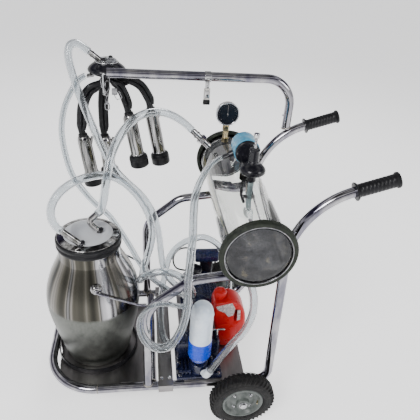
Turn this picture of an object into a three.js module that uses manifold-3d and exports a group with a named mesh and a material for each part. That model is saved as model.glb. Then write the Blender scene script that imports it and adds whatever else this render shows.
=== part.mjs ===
// A trolley milking machine: a tube frame on two wheels carries a bucket with a clear lid, a clear
// vacuum tank, a vane pump with its motor, an oil can, and a hanger arm with the milking cluster.
// Millimetres, +Z up. +X runs from the bucket to the push handles, -Y is the side with the pump.
import * as THREE from 'three';
import { mergeVertices } from 'three/addons/utils/BufferGeometryUtils.js';
import Module from 'manifold-3d';

const wasm = await Module();
wasm.setup();

// ---- driving dimensions -------------------------------------------------------------------
const GAP = 0.3; // clearance between pieces that touch
const TUBE_R = 13.5; // frame tube, 27 mm outside
const SPIGOT_R = 10.8; // reduced foot of the hanger arm, inside its socket
const RAIL_Y = 218; // centre of each side rail from the frame's mid-plane
const RAIL_Z = 114; // height of the base rails
const FRONT_X = -472; // centre of the front cross tube
const FRONT_CORNER_R = 150;
const UPRIGHT_X = 217; // where the rail turns up
const HANDLE_KNEE = [196, 760]; // where the upright turns back, x and z
const HANDLE_END = [446, 841.8]; // end of the push handle, x and z
const LEG_FOOT_X = -165;
const LEG_BENDS = [[-165, 443], [-51, 540]];
const LEG_TOP = [186, 573.6];
const TRAY_Z = 128.3; // underside of the pump tray
const FLOOR_Z = 74; // underside of the bucket's floor
const WHEEL = { x: 124, z: 103, r: 103, width: 52, outerY: 303, hubR: 64, axleR: 8 };
const BUCKET = { x: -334, y: 3, bottom: 76.5 };
const TANK = { x: 108, z: 664, r: 82.5, wall: 5, half: 259 };
const RING = { r: 100, inner: 83.4, lip: 86, back: 266, front: 286 };
const CLAW = { x: -275, y: 296, z: 920, r: 57.5 };
const ARM_POST_X = 283;
const ARM_Z = 953;
const ARM_END_X = -270;
const ARM_CORNER_R = 82;
const SOCKET_TOP = 850;
const MOTOR = { x: 22, z: 202, r: 70, front: 10, back: 190 };
// the cluster overhangs the far side and the handles overhang the back, so the frame stands off the middle
const MIDDLE = [14.4, -21.2];

const machine = new THREE.Group();
machine.position.set(MIDDLE[0], MIDDLE[1], 0);

// ---- materials ----------------------------------------------------------------------------
const look = (color, roughness, metalness, extra = {}) =>
  new THREE.MeshStandardMaterial({ color, roughness, metalness, ...extra });
const steel = look(0xb4b4ba, 0.25, 1);
const polished = look(0xc4c0ba, 0.1, 1);
const sheet = look(0x8f8880, 0.35, 0.9);
const rubber = look(0x17171a, 0.7, 0);
const clear = look(0xdfe8ec, 0.08, 0, { transparent: true, opacity: 0.35 });
const navy = look(0x161b33, 0.45, 0.3);
const paint = look(0x6d7076, 0.5, 0.2);
const tealPlastic = look(0x3f9fc0, 0.35, 0);
const blackPlastic = look(0x111114, 0.4, 0);
const brass = look(0xc7a860, 0.3, 1);
const bottle = look(0xe6eef6, 0.35, 0);
const redPlastic = look(0xd81f1c, 0.35, 0);

function put(name, geometry, material, position = [0, 0, 0], rotation = [0, 0, 0]) {
  const part = new THREE.Mesh(geometry, material);
  part.name = name;
  part.position.set(...position);
  part.rotation.set(...rotation);
  machine.add(part);
  return part;
}

// ---- solid helpers ------------------------------------------------------------------------
function toSolid(geometry) {
  const bare = geometry.clone();
  bare.deleteAttribute('normal');
  bare.deleteAttribute('uv');
  const merged = mergeVertices(bare, 1e-3);
  return new wasm.Manifold(new wasm.Mesh({
    numProp: 3,
    vertProperties: new Float32Array(merged.attributes.position.array),
    triVerts: new Uint32Array(merged.index.array),
  }));
}

function toGeometry(solid) {
  const mesh = solid.getMesh();
  const geometry = new THREE.BufferGeometry();
  geometry.setAttribute('position', new THREE.BufferAttribute(new Float32Array(mesh.vertProperties), 3));
  geometry.setIndex(new THREE.BufferAttribute(new Uint32Array(mesh.triVerts), 1));
  geometry.computeVertexNormals();
  return geometry;
}

function join(first, ...others) {
  let solid = toSolid(first);
  for (const other of others) solid = solid.add(toSolid(other));
  return toGeometry(solid);
}

function cut(first, ...tools) {
  let solid = toSolid(first);
  for (const tool of tools) solid = solid.subtract(toSolid(tool));
  return toGeometry(solid);
}

function box(x0, x1, y0, y1, z0, z1) {
  const geometry = new THREE.BoxGeometry(x1 - x0, y1 - y0, z1 - z0);
  geometry.translate((x0 + x1) / 2, (y0 + y1) / 2, (z0 + z1) / 2);
  return geometry;
}

// A cylinder from one point to another.
function bar(from, to, radius, sides = 16, endRadius = radius) {
  const a = new THREE.Vector3(...from);
  const b = new THREE.Vector3(...to);
  const geometry = new THREE.CylinderGeometry(endRadius, radius, a.distanceTo(b), sides);
  const along = new THREE.Vector3().subVectors(b, a).normalize();
  const turn = new THREE.Quaternion().setFromUnitVectors(new THREE.Vector3(0, 1, 0), along);
  geometry.applyQuaternion(turn);
  geometry.translate((a.x + b.x) / 2, (a.y + b.y) / 2, (a.z + b.z) / 2);
  return geometry;
}

// Lathe profiles are [radius, height] pairs. turned() stands on +Z, turnedY() lies along +Y.
function turned(profile, segments = 20) {
  const points = profile.map(([r, z]) => new THREE.Vector2(r, z));
  const geometry = new THREE.LatheGeometry(points, segments);
  geometry.rotateX(Math.PI / 2);
  return geometry;
}

function turnedY(profile, segments = 20) {
  const points = profile.map(([r, y]) => new THREE.Vector2(r, y));
  return new THREE.LatheGeometry(points, segments);
}

// A curve that steps exactly from one listed point to the next.
class Route extends THREE.Curve {
  constructor(points) {
    super();
    this.points = points;
  }
  getPoint(t, target = new THREE.Vector3()) {
    const place = Math.min(Math.max(t, 0), 1) * (this.points.length - 1);
    const index = Math.min(Math.floor(place), this.points.length - 2);
    return target.lerpVectors(this.points[index], this.points[index + 1], place - index);
  }
  getPointAt(u, target) {
    return this.getPoint(u, target);
  }
  getSpacedPoints(divisions) {
    return Array.from({ length: divisions + 1 }, (_, i) => this.getPoint(i / divisions));
  }
  getTangentAt(u, target = new THREE.Vector3()) {
    const last = this.points.length - 1;
    const index = Math.round(u * last);
    const before = this.points[Math.max(index - 1, 0)];
    const here = this.points[index];
    const after = this.points[Math.min(index + 1, last)];
    const arrive = new THREE.Vector3().subVectors(here, before).normalize();
    const leave = new THREE.Vector3().subVectors(after, here).normalize();
    return target.copy(arrive).add(leave).normalize();
  }
  getTangent(t, target) {
    return this.getTangentAt(t, target);
  }
}

// Straight runs joined by round bends: corners is a list of [x, y, z] or [x, y, z, bendRadius].
function bentPoints(corners, stepsPerBend = 5) {
  const vectors = corners.map((c) => new THREE.Vector3(c[0], c[1], c[2]));
  const points = [vectors[0]];
  for (let i = 1; i < vectors.length - 1; i++) {
    const corner = vectors[i];
    const back = new THREE.Vector3().subVectors(vectors[i - 1], corner).normalize();
    const ahead = new THREE.Vector3().subVectors(vectors[i + 1], corner).normalize();
    const half = back.angleTo(ahead) / 2;
    const radius = corners[i][3];
    const setback = radius / Math.tan(half);
    const centre = new THREE.Vector3().addVectors(back, ahead).normalize()
      .multiplyScalar(radius / Math.sin(half)).add(corner);
    const start = corner.clone().addScaledVector(back, setback).sub(centre);
    const end = corner.clone().addScaledVector(ahead, setback).sub(centre);
    const sweep = start.angleTo(end);
    for (let k = 0; k <= stepsPerBend; k++) {
      const angle = (sweep * k) / stepsPerBend;
      const spoke = start.clone().multiplyScalar(Math.sin(sweep - angle) / Math.sin(sweep))
        .addScaledVector(end, Math.sin(angle) / Math.sin(sweep));
      points.push(centre.clone().add(spoke));
    }
  }
  points.push(vectors[vectors.length - 1]);
  return points;
}

function roundSection(radius, sides) {
  const shape = new THREE.Shape();
  for (let i = 0; i < sides; i++) {
    const angle = (2 * Math.PI * i) / sides;
    const [x, y] = [radius * Math.cos(angle), radius * Math.sin(angle)];
    if (i === 0) shape.moveTo(x, y);
    else shape.lineTo(x, y);
  }
  shape.closePath();
  return shape;
}

// Two round tubes moulded side by side, as one section.
function twinSection(radius) {
  const shape = new THREE.Shape();
  const corners = [];
  for (let i = 0; i <= 4; i++) {
    const angle = -Math.PI / 2 + (Math.PI * i) / 4;
    corners.push([radius + radius * Math.cos(angle), radius * Math.sin(angle)]);
  }
  for (let i = 0; i <= 4; i++) {
    const angle = Math.PI / 2 + (Math.PI * i) / 4;
    corners.push([-radius + radius * Math.cos(angle), radius * Math.sin(angle)]);
  }
  corners.forEach(([x, y], i) => (i === 0 ? shape.moveTo(x, y) : shape.lineTo(x, y)));
  shape.closePath();
  return shape;
}

function bentTube(corners, radius, sides = 12, stepsPerBend = 5) {
  const path = new Route(bentPoints(corners, stepsPerBend));
  return new THREE.ExtrudeGeometry(roundSection(radius, sides), {
    steps: path.points.length - 1, extrudePath: path, curveSegments: 1,
  });
}

// A smooth hose through hand-placed points.
function hose(points, section, steps) {
  const curve = new THREE.CatmullRomCurve3(points.map((p) => new THREE.Vector3(...p)), false, 'centripetal');
  return new THREE.ExtrudeGeometry(section, { steps, extrudePath: curve, curveSegments: 1 });
}

const sides = [['near', -1], ['far', 1]];

// ---- frame --------------------------------------------------------------------------------
const railStartX = FRONT_X + FRONT_CORNER_R + 2;

put('front_loop', bentTube([
  [railStartX - GAP, -RAIL_Y, RAIL_Z],
  [FRONT_X, -RAIL_Y, RAIL_Z, FRONT_CORNER_R],
  [FRONT_X, RAIL_Y, RAIL_Z, FRONT_CORNER_R],
  [railStartX - GAP, RAIL_Y, RAIL_Z],
], TUBE_R), steel);

for (const [side, sign] of sides) {
  const y = sign * RAIL_Y;
  put(`side_tube_${side}`, bentTube([
    [railStartX, y, RAIL_Z],
    [UPRIGHT_X, y, RAIL_Z, 48],
    [HANDLE_KNEE[0], y, HANDLE_KNEE[1], 207],
    [HANDLE_END[0], y, HANDLE_END[1]],
  ], TUBE_R), steel);
  const leg = bentTube([
    [LEG_FOOT_X, y, RAIL_Z + TUBE_R + GAP],
    [LEG_BENDS[0][0], y, LEG_BENDS[0][1], 96],
    [LEG_BENDS[1][0], y, LEG_BENDS[1][1], 84],
    [LEG_TOP[0], y, LEG_TOP[1]],
  ], TUBE_R);
  // a saddle welded on top of the leg carries the tank
  const saddle = box(TANK.x - 9, TANK.x + 9, y - 10, y + 10, 564, TANK.z - TANK.r - 0.8);
  put(`leg_${side}`, join(leg, saddle), steel);
}

const crossEnd = RAIL_Y - TUBE_R - GAP;
put('cross_front', bar([-152, -crossEnd, RAIL_Z], [-152, crossEnd, RAIL_Z], TUBE_R, 12), steel);

// A flat strip lies across both rails beside the bucket bay, with its ends folded down.
put('channel_strip', join(
  box(-134, -88, -RAIL_Y - 17, RAIL_Y + 17, TRAY_Z - 0.4, TRAY_Z + 2),
  box(-134, -88, -RAIL_Y - 17, -RAIL_Y - 14.2, RAIL_Z - 12, TRAY_Z + 1),
  box(-134, -88, RAIL_Y + 14.2, RAIL_Y + 17, RAIL_Z - 12, TRAY_Z + 1),
), sheet);

// the pump tray, with the rear cross tube welded under it
put('pump_tray', join(
  box(-54, 142, -RAIL_Y - 8, RAIL_Y + 8, TRAY_Z - 0.4, TRAY_Z + 2),
  box(-54, -51.5, -RAIL_Y + 16, RAIL_Y - 16, TRAY_Z - 14, TRAY_Z + 1),
  bar([128, -crossEnd, RAIL_Z], [128, crossEnd, RAIL_Z], TUBE_R, 12),
  box(124, 132, -crossEnd + 10, crossEnd - 10, RAIL_Z + 10, TRAY_Z + 1),
), sheet);

// The bucket stands on a lowered floor that hangs from the loop by flat straps, inside a ring.
function bucketFloor() {
  const outline = new THREE.Shape();
  const [front, back, half, corner] = [FRONT_X + 17, LEG_FOOT_X - 3, RAIL_Y - 16, 134];
  outline.moveTo(back, -half);
  outline.lineTo(back, half);
  outline.lineTo(front + corner, half);
  outline.absarc(front + corner, half - corner, corner, Math.PI / 2, Math.PI, false);
  outline.absarc(front + corner, -half + corner, corner, Math.PI, 1.5 * Math.PI, false);
  outline.closePath();
  const floor = new THREE.ExtrudeGeometry(outline, { depth: 2, bevelEnabled: false, curveSegments: 8 });
  floor.translate(0, 0, FLOOR_Z);
  const ring = turned([[128, FLOOR_Z + 1], [132, FLOOR_Z + 1], [132, FLOOR_Z + 22], [128, FLOOR_Z + 22],
    [128, FLOOR_Z + 1]], 32);
  ring.translate(BUCKET.x, BUCKET.y, 0);
  const strapTop = RAIL_Z + 6;
  const straps = [
    box(front - 2.6, front + 0.4, -16, 16, FLOOR_Z, strapTop),
    box(-250, -218, -half - 2.2, -half + 0.8, FLOOR_Z, strapTop),
    box(-250, -218, half - 0.8, half + 2.2, FLOOR_Z, strapTop),
  ];
  return join(floor, ring, ...straps);
}
put('bucket_floor', bucketFloor(), sheet);

// A low U of rod under the floor keeps the front end level with the wheels.
const footX = -400;
put('front_foot', bentTube([
  [footX, -105, FLOOR_Z - GAP],
  [footX, -105, 10, 22],
  [footX, 105, 10, 22],
  [footX, 105, FLOOR_Z - GAP],
], 10, 12, 4), steel);

// ---- wheels -------------------------------------------------------------------------------
const innerY = WHEEL.outerY - WHEEL.width;
for (const [side, sign] of sides) {
  // axle stub welded to the rail, with a washer and nut at its free end
  const axle = turnedY([[0, RAIL_Y + 14], [12, RAIL_Y + 14], [12, innerY - 1], [WHEEL.axleR, innerY - 1],
    [WHEEL.axleR, WHEEL.outerY + 0.4], [13, WHEEL.outerY + 0.4], [13, WHEEL.outerY + 8],
    [0, WHEEL.outerY + 8]], 16);
  const hub = turnedY([[8.2, innerY + 2], [20, innerY + 2], [20, innerY + 20], [52, innerY + 20],
    [54, innerY + 5], [WHEEL.hubR, innerY + 5], [WHEEL.hubR, WHEEL.outerY - 5], [54, WHEEL.outerY - 5],
    [52, WHEEL.outerY - 14], [20, WHEEL.outerY - 14], [20, WHEEL.outerY], [8.2, WHEEL.outerY],
    [8.2, innerY + 2]], 24);
  const tyre = turnedY([[WHEEL.hubR + GAP, innerY + 6], [74, innerY + 2], [92, innerY + 5],
    [WHEEL.r, innerY + 14], [WHEEL.r, WHEEL.outerY - 14], [92, WHEEL.outerY - 5],
    [74, WHEEL.outerY - 2], [WHEEL.hubR + GAP, WHEEL.outerY - 6], [WHEEL.hubR + GAP, innerY + 6]], 24);
  const turn = sign > 0 ? [0, 0, 0] : [0, 0, Math.PI];
  const place = [WHEEL.x, 0, WHEEL.z];
  put(`axle_${side}`, axle, steel, place, turn);
  put(`hub_${side}`, hub, paint, place, turn);
  put(`tyre_${side}`, tyre, rubber, place, turn);
}

// ---- handle grips -------------------------------------------------------------------------
const slope = Math.atan2(HANDLE_END[1] - HANDLE_KNEE[1], HANDLE_END[0] - HANDLE_KNEE[0]);
for (const [side, sign] of sides) {
  const gripLength = 104;
  const grip = turnedY([[13.9, 0], [24, 0], [24, 6], [17, 8], [17, gripLength], [21, gripLength + 2],
    [21, gripLength + 8], [0, gripLength + 8], [0, gripLength + 4], [13.9, gripLength + 4],
    [13.9, 0]], 20);
  grip.rotateX(Math.PI / 2).rotateY(Math.PI / 2 - slope);
  const back = gripLength + 3.6;
  put(`grip_${side}`, grip, rubber, [HANDLE_END[0] - back * Math.cos(slope), sign * RAIL_Y,
    HANDLE_END[1] - back * Math.sin(slope)]);
}

// ---- hanger arm ---------------------------------------------------------------------------
const handleAt = (x) => HANDLE_KNEE[1] + (x - HANDLE_KNEE[0]) * Math.tan(slope);
const armFoot = handleAt(ARM_POST_X) + TUBE_R / Math.cos(slope) + 4;
const screwZ = SOCKET_TOP - 18;
const onPost = (x, z) => [x, RAIL_Y, z];
put('arm_socket', cut(
  bar(onPost(ARM_POST_X, handleAt(ARM_POST_X)), onPost(ARM_POST_X, SOCKET_TOP), TUBE_R, 16),
  bar(onPost(ARM_POST_X - 40, handleAt(ARM_POST_X - 40)), onPost(ARM_POST_X + 40, handleAt(ARM_POST_X + 40)),
    TUBE_R + 0.5, 24),
  bar(onPost(ARM_POST_X, armFoot), onPost(ARM_POST_X, SOCKET_TOP + 5), SPIGOT_R + GAP, 16),
  bar([ARM_POST_X, RAIL_Y + 5, screwZ], [ARM_POST_X, RAIL_Y + 30, screwZ], 4.3, 12),
), steel);
put('hanger_arm', join(
  bentTube([
    onPost(ARM_POST_X, SOCKET_TOP + GAP),
    [ARM_POST_X, RAIL_Y, ARM_Z, ARM_CORNER_R],
    [ARM_END_X, RAIL_Y, ARM_Z],
  ], TUBE_R, 16, 7),
  bar(onPost(ARM_POST_X, armFoot + GAP), onPost(ARM_POST_X, SOCKET_TOP + 3), SPIGOT_R, 16),
), steel);
const behindPost = (distance) => [ARM_POST_X, RAIL_Y + distance, screwZ];
put('arm_screw', join(
  bar(behindPost(SPIGOT_R + GAP), behindPost(33), 4, 12),
  bar(behindPost(24), behindPost(33), 9, 12),
), steel);

// a spring strap with a rubber tip rides on the arm
put('strap_clip', join(
  turned([[TUBE_R + 0.3, -9.5], [TUBE_R + 2, -9.5], [TUBE_R + 2, 9.5], [TUBE_R + 0.3, 9.5], [TUBE_R + 0.3, -9.5]], 20)
    .rotateY(Math.PI / 2).translate(21, RAIL_Y, ARM_Z),
  box(11.5, 30.5, RAIL_Y - 2, RAIL_Y + 1, ARM_Z - 70, ARM_Z - TUBE_R - 0.8),
  box(10, 32, RAIL_Y - 5, RAIL_Y + 3, ARM_Z - 84, ARM_Z - 68),
), steel);

// ---- milking cluster ----------------------------------------------------------------------
const clawOutlet = [-322, 270, 997];
put('claw', join(
  turned([[0, 0], [24, 0], [30, 6], [50, 12], [CLAW.r, 18], [CLAW.r, 24], [50, 33], [40, 40], [36, 44], [34, 52],
    [26, 58], [0, 60]], 24).translate(CLAW.x, CLAW.y, CLAW.z),
  bar([CLAW.x - 10, CLAW.y - 12, CLAW.z + 45], [clawOutlet[0] + 0.4, clawOutlet[1] + 0.2, clawOutlet[2] - 0.4], 8.5, 12),
), blackPlastic);

// wire hook from the arm's open end, under the claw
put('claw_hook', bentTube([
  [ARM_END_X - 4, RAIL_Y, ARM_Z - 4],
  [ARM_END_X - 12, RAIL_Y, ARM_Z - 4, 5],
  [ARM_END_X - 12, RAIL_Y, ARM_Z - 66, 12],
  [ARM_END_X - 14, CLAW.y, ARM_Z - 66, 8],
  [ARM_END_X - 14, CLAW.y, CLAW.z - GAP],
], 2.6, 8, 4), steel);

// Each teatcup: top of its shell, bottom of its head, then the hand-placed way of its milk tube.
const TEATCUPS = [
  { top: [-359, 262, 752], bottom: [-333, 246, 576],
    tube: [[-294, 276, 905], [-331, 265, 888], [-353, 265, 842], [-361, 264, 787]] },
  { top: [-296, 306, 733], bottom: [-282, 300, 573],
    tube: [[-281, 313, 905], [-291, 313, 876], [-297, 311, 832], [-298, 308, 778]] },
  { top: [-215, 268, 822], bottom: [-181, 261, 638],
    tube: [[-256, 280, 907], [-242, 270, 900], [-230, 266, 880], [-221, 268, 852]] },
  { top: [-147, 300, 828], bottom: [-110, 291, 634],
    tube: [[-247, 304, 907], [-214, 301, 911], [-178, 302, 894], [-157, 302, 862]] },
];
TEATCUPS.forEach(({ top, bottom, tube }, index) => {
  const upper = new THREE.Vector3(...top);
  const lower = new THREE.Vector3(...bottom);
  const length = upper.distanceTo(lower);
  const cup = turnedY([[0, 42], [11, 42], [11, 0], [14, 0], [20, 3], [30, 6], [31, 40], [23, 46], [21.5, 50],
    [21.5, length - 14], [15, length - 6], [12, length], [0, length]], 20);
  const along = new THREE.Vector3().subVectors(upper, lower).normalize();
  cup.applyQuaternion(new THREE.Quaternion().setFromUnitVectors(new THREE.Vector3(0, 1, 0), along));
  put(`teatcup_${index + 1}`, cup, polished, bottom);
  const end = upper.clone().addScaledVector(along, GAP);
  const before = upper.clone().addScaledVector(along, 22);
  put(`cup_tubes_${index + 1}`, hose([...tube, before.toArray(), end.toArray()], roundSection(11, 10), 9), rubber);
});

// ---- vacuum tank --------------------------------------------------------------------------
const tankTube = turnedY([[TANK.r - TANK.wall, -TANK.half], [TANK.r, -TANK.half], [TANK.r, TANK.half],
  [TANK.r - TANK.wall, TANK.half], [TANK.r - TANK.wall, -TANK.half]], 24);
// barb under the near end for the pump's inlet hose
const PORT_Y = -243.6;
const portBottom = TANK.z - TANK.r - 22;
const port = bar([0, PORT_Y, -TANK.r + 1.5], [0, PORT_Y, portBottom - TANK.z], 6.8, 12);
put('tank_tube', join(tankTube, port), clear, [TANK.x, 0, TANK.z]);
for (const [side, sign] of sides) {
  const end = turnedY([[0, TANK.half + GAP], [RING.inner - GAP, TANK.half + GAP], [RING.inner - GAP, 280],
    [60, 284], [0, 285]], 24);
  const ring = turnedY([[RING.inner, RING.back], [97, RING.back], [RING.r, 268], [RING.r, 282],
    [97, RING.front], [RING.lip, RING.front], [RING.lip, 282.3], [RING.inner, 282.3],
    [RING.inner, RING.back]], 24);
  const turn = sign > 0 ? [0, 0, 0] : [0, 0, Math.PI];
  put(`tank_end_${side}`, end, clear, [TANK.x, 0, TANK.z], turn);
  put(`tank_ring_${side}`, ring, rubber, [TANK.x, 0, TANK.z], turn);
}

// inclined outlet pipe at the far end, with its clamp ring
const nozzleEnd = [-17, 225, 783];
put('tank_nozzle', join(
  bar([43, 222.2, 727], [-16.8, 225, 782.8], 11, 16),
  bar([20, 223.3, 749], [9, 223.8, 759], 17, 16),
), steel);

// vacuum gauge on a brass stem, dial to the near side
const GAUGE = { x: 90, y: 225, z: 842, r: 37 };
const tankTopAt = (x) => TANK.z + Math.sqrt(TANK.r ** 2 - (x - TANK.x) ** 2);
put('gauge', join(
  turnedY([[0, -8], [31, -8], [31, -13], [GAUGE.r, -13], [GAUGE.r, 6], [29, 13], [0, 13]], 24)
    .translate(GAUGE.x, GAUGE.y, GAUGE.z),
  bar([GAUGE.x, GAUGE.y, tankTopAt(TANK.x) + 0.6], [GAUGE.x, GAUGE.y, GAUGE.z - 31], 8, 12),
  bar([GAUGE.x, GAUGE.y, tankTopAt(TANK.x) + 0.6], [GAUGE.x, GAUGE.y, GAUGE.z - 64], 12, 6),
), brass);
put('gauge_needle', join(
  box(GAUGE.x - 1.2, GAUGE.x + 1.2, GAUGE.y - 11, GAUGE.y - 9.8, GAUGE.z - 7, GAUGE.z + 25),
  bar([GAUGE.x, GAUGE.y - 8.4, GAUGE.z], [GAUGE.x, GAUGE.y - 12, GAUGE.z], 3, 10),
), steel);

// pulsator: a round body lying along Y with a domed cap, on a short bracket
const PULSATOR = { x: 124, z: 794 };
put('pulsator', join(
  turnedY([[0, 30], [36, 30], [39, 33], [39, 104], [34, 112], [22, 118], [0, 119]], 24)
    .translate(PULSATOR.x, 0, PULSATOR.z),
  box(108, 136, 0, 66, tankTopAt(TANK.x) + 0.8, 772),
  bar([98, 66, 783], [60.4, 70, 764], 11, 12),
), tealPlastic);

// vacuum regulator: fitting, mushroom cap and adjusting screw
const REG = { x: 124, y: -45 };
put('regulator', cut(
  turned([[0, tankTopAt(TANK.x) + 0.8], [13, tankTopAt(TANK.x) + 0.8], [13, 766], [20, 768], [36, 776],
    [36, 788], [28, 797], [15, 800], [15, 842], [0, 842]], 24),
  bar([0, 0, 830], [0, 0, 860], 4.2, 12),
).translate(REG.x, REG.y, 0), blackPlastic);
put('regulator_screw', join(
  bar([REG.x, REG.y, 831], [REG.x, REG.y, 878], 3.8, 12),
  bar([REG.x, REG.y, 872], [REG.x, REG.y, 886], 8.5, 12),
), steel);

// ---- bucket, lid and bail -----------------------------------------------------------------
const bucketOutside = [[0, 0], [97, 0], [103, 5], [111, 34], [124, 100], [139, 180], [145, 236], [141, 280],
  [129, 322], [115, 356], [92, 408], [92, 436]];
const wallInside = bucketOutside.slice(2).reverse().map(([r, z]) => [r - 2, z]);
const bucketShell = turned([...bucketOutside, ...wallInside, [97, 6], [0, 6]], 24);
const LUG_TURN = 0.2;
const BAIL = { reach: 125, half: 131, z: 424, droop: 0.54, wire: 3.6 };
const lugAcross = [Math.sin(LUG_TURN), -Math.cos(LUG_TURN)];
const lug = (s, r) => [BUCKET.x + s * r * lugAcross[0], BUCKET.y + s * r * lugAcross[1], BAIL.z];
const bucketSolid = bucketShell.translate(BUCKET.x, BUCKET.y, BUCKET.bottom);
put('bucket', join(bucketSolid,
  bar(lug(1, 115), lug(1, BAIL.half - 5), 16, 12),
  bar(lug(-1, 115), lug(-1, BAIL.half - 5), 16, 12),
), polished);

function bailWire() {
  const out = [Math.cos(LUG_TURN) * Math.cos(BAIL.droop), Math.sin(LUG_TURN) * Math.cos(BAIL.droop),
    -Math.sin(BAIL.droop)];
  const centre = [BUCKET.x, BUCKET.y, BAIL.z];
  const at = (across, along) => new THREE.Vector3(
    centre[0] + across * lugAcross[0] + along * out[0],
    centre[1] + across * lugAcross[1] + along * out[1],
    centre[2] + along * out[2],
  );
  const points = [at(BAIL.half - 4.2, 0), at(BAIL.half + 3, 1), at(BAIL.half + 3, 12)];
  const steps = 12;
  for (let i = 0; i <= steps; i++) {
    const angle = (Math.PI * i) / steps;
    points.push(at((BAIL.half + 3) * Math.cos(angle), BAIL.reach + BAIL.half * Math.sin(angle)));
  }
  points.push(at(-BAIL.half - 3, 12), at(-BAIL.half - 3, 1), at(-BAIL.half + 4.2, 0));
  const path = new Route(points);
  return new THREE.ExtrudeGeometry(roundSection(BAIL.wire, 8), {
    steps: points.length - 1, extrudePath: path, curveSegments: 1,
  });
}
put('bail', bailWire(), steel);

const neckTop = BUCKET.bottom + 436;
put('lid_gasket', turned([[82, neckTop + GAP], [94, neckTop + GAP], [96, neckTop + 7], [93, neckTop + 14],
  [96, neckTop + 21], [94, neckTop + 29], [82, neckTop + 29], [82, neckTop + GAP]], 24)
  .translate(BUCKET.x, BUCKET.y, 0), rubber);
const lidZ = neckTop + 29 + GAP;
const milkInlet = [-396, -62, 600];
const airElbow = [-304, 6, 612];
put('lid', join(
  turned([[0, lidZ - 4], [81.6, lidZ - 4], [81.6, lidZ], [91, lidZ], [91, lidZ + 3], [79, lidZ + 6], [60, lidZ + 12],
    [30, lidZ + 16], [0, lidZ + 17]], 24).translate(BUCKET.x, BUCKET.y, 0),
  bar([-340, -60, lidZ + 2], [milkInlet[0] + 0.2, milkInlet[1], milkInlet[2] - 0.2], 9.5, 12),
  bentTube([[-290, 0, lidZ], [-331, 3, 588, 14], [airElbow[0] - 0.2, airElbow[1], airElbow[2] - 0.2]], 9.5, 12, 4),
), clear);

// ---- vane pump, oil jar and motor ---------------------------------------------------------
const pumpBase = TRAY_Z + 2 + GAP;
const ribs = [];
for (let x = -66; x <= 54; x += 20) ribs.push(box(x - 3, x + 3, -147, -92, 220, 230));
put('vane_pump', join(
  box(-78, 68, -218, -88, pumpBase, 146),
  box(-76, 64, -146, -90, 145, 222),
  ...ribs,
  bar([-6, -184, 145], [-6, -184, 182], 28, 20),
  bar([-70, -105, 172], [-78, -105, 172], 14, 12),
), navy);
put('oil_jar', turned([[0, 182.4], [22, 182.4], [30, 196], [36, 218], [36, 238], [35, 240], [35, 394], [30, 412],
  [18, 426], [0, 432]], 24).translate(-6, -184, 0), bottle);
put('pump_elbow', bentTube([
  [10, -212.6, 160],
  [12, -228, 159, 11],
  [24, -226.6, 181],
], 13.5, 12, 4), steel);
put('pump_lever', join(
  bar([54, -122, 230.4], [54, -122, 256], 6, 12),
  box(32, 82, -126, -118, 248, 256),
), steel);

put('drive_shaft', turnedY([[0, -89.6], [9, -89.6], [9, -50], [20, -50], [20, -8], [9, -8], [9, 9.6], [0, 9.6]], 20),
  steel, [MOTOR.x, 0, MOTOR.z]);
put('motor', join(
  turnedY([[0, MOTOR.front], [52, MOTOR.front], [64, MOTOR.front + 8], [MOTOR.r, MOTOR.front + 20],
    [MOTOR.r, MOTOR.back - 20], [66, MOTOR.back - 4], [0, MOTOR.back]], 24).translate(MOTOR.x, 0, MOTOR.z),
  box(MOTOR.x - 58, MOTOR.x + 58, 50, 150, pumpBase, MOTOR.z - 30),
  bar([8, 176, 326], [94, 176, 326], 25, 20),
  box(26, 76, 160, 184, 230, 312),
  bar([2, 132, 235], [2, 132, 304], 30, 20),
), navy);

// ---- oil can ------------------------------------------------------------------------------
function oilCan() {
  const outline = new THREE.Shape();
  const corners = [[78, pumpBase], [134, pumpBase], [149, 178], [157, 236], [152, 280], [134, 315], [106, 332],
    [92, 334], [90, 328], [47, 324], [47, 286], [56, 218], [68, 168]];
  corners.forEach(([x, z], i) => (i === 0 ? outline.moveTo(x, z) : outline.lineTo(x, z)));
  outline.closePath();
  const body = new THREE.ExtrudeGeometry(outline, { depth: 74, bevelEnabled: false });
  body.rotateX(Math.PI / 2);
  body.translate(0, -12, 0);
  const loop = box(114, 132, -95, -5, 250, 302);
  return toGeometry(toSolid(body).add(toSolid(bar([68, -52, 320], [68, -52, 336], 16, 16))).subtract(toSolid(loop)));
}
put('oil_can', oilCan(), redPlastic);
put('oil_cap', turned([[0, 336.4], [20, 336.4], [22, 339], [22, 356], [19, 359], [0, 360]], 20)
  .translate(68, -52, 0), redPlastic);

// ---- hoses --------------------------------------------------------------------------------
const AIR_HOSE = [nozzleEnd, [-27.2, 225.5, 792.5], [-48, 217, 813], [-80, 206, 836], [-120, 191, 852],
  [-162, 172, 853], [-198, 147, 841], [-234, 108, 810], [-260, 66, 766], [-274, 32, 706], [-284, 14, 652],
  [-295, 7, 620], airElbow];
put('air_hose', hose(AIR_HOSE, roundSection(12, 8), 12), clear);

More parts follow.
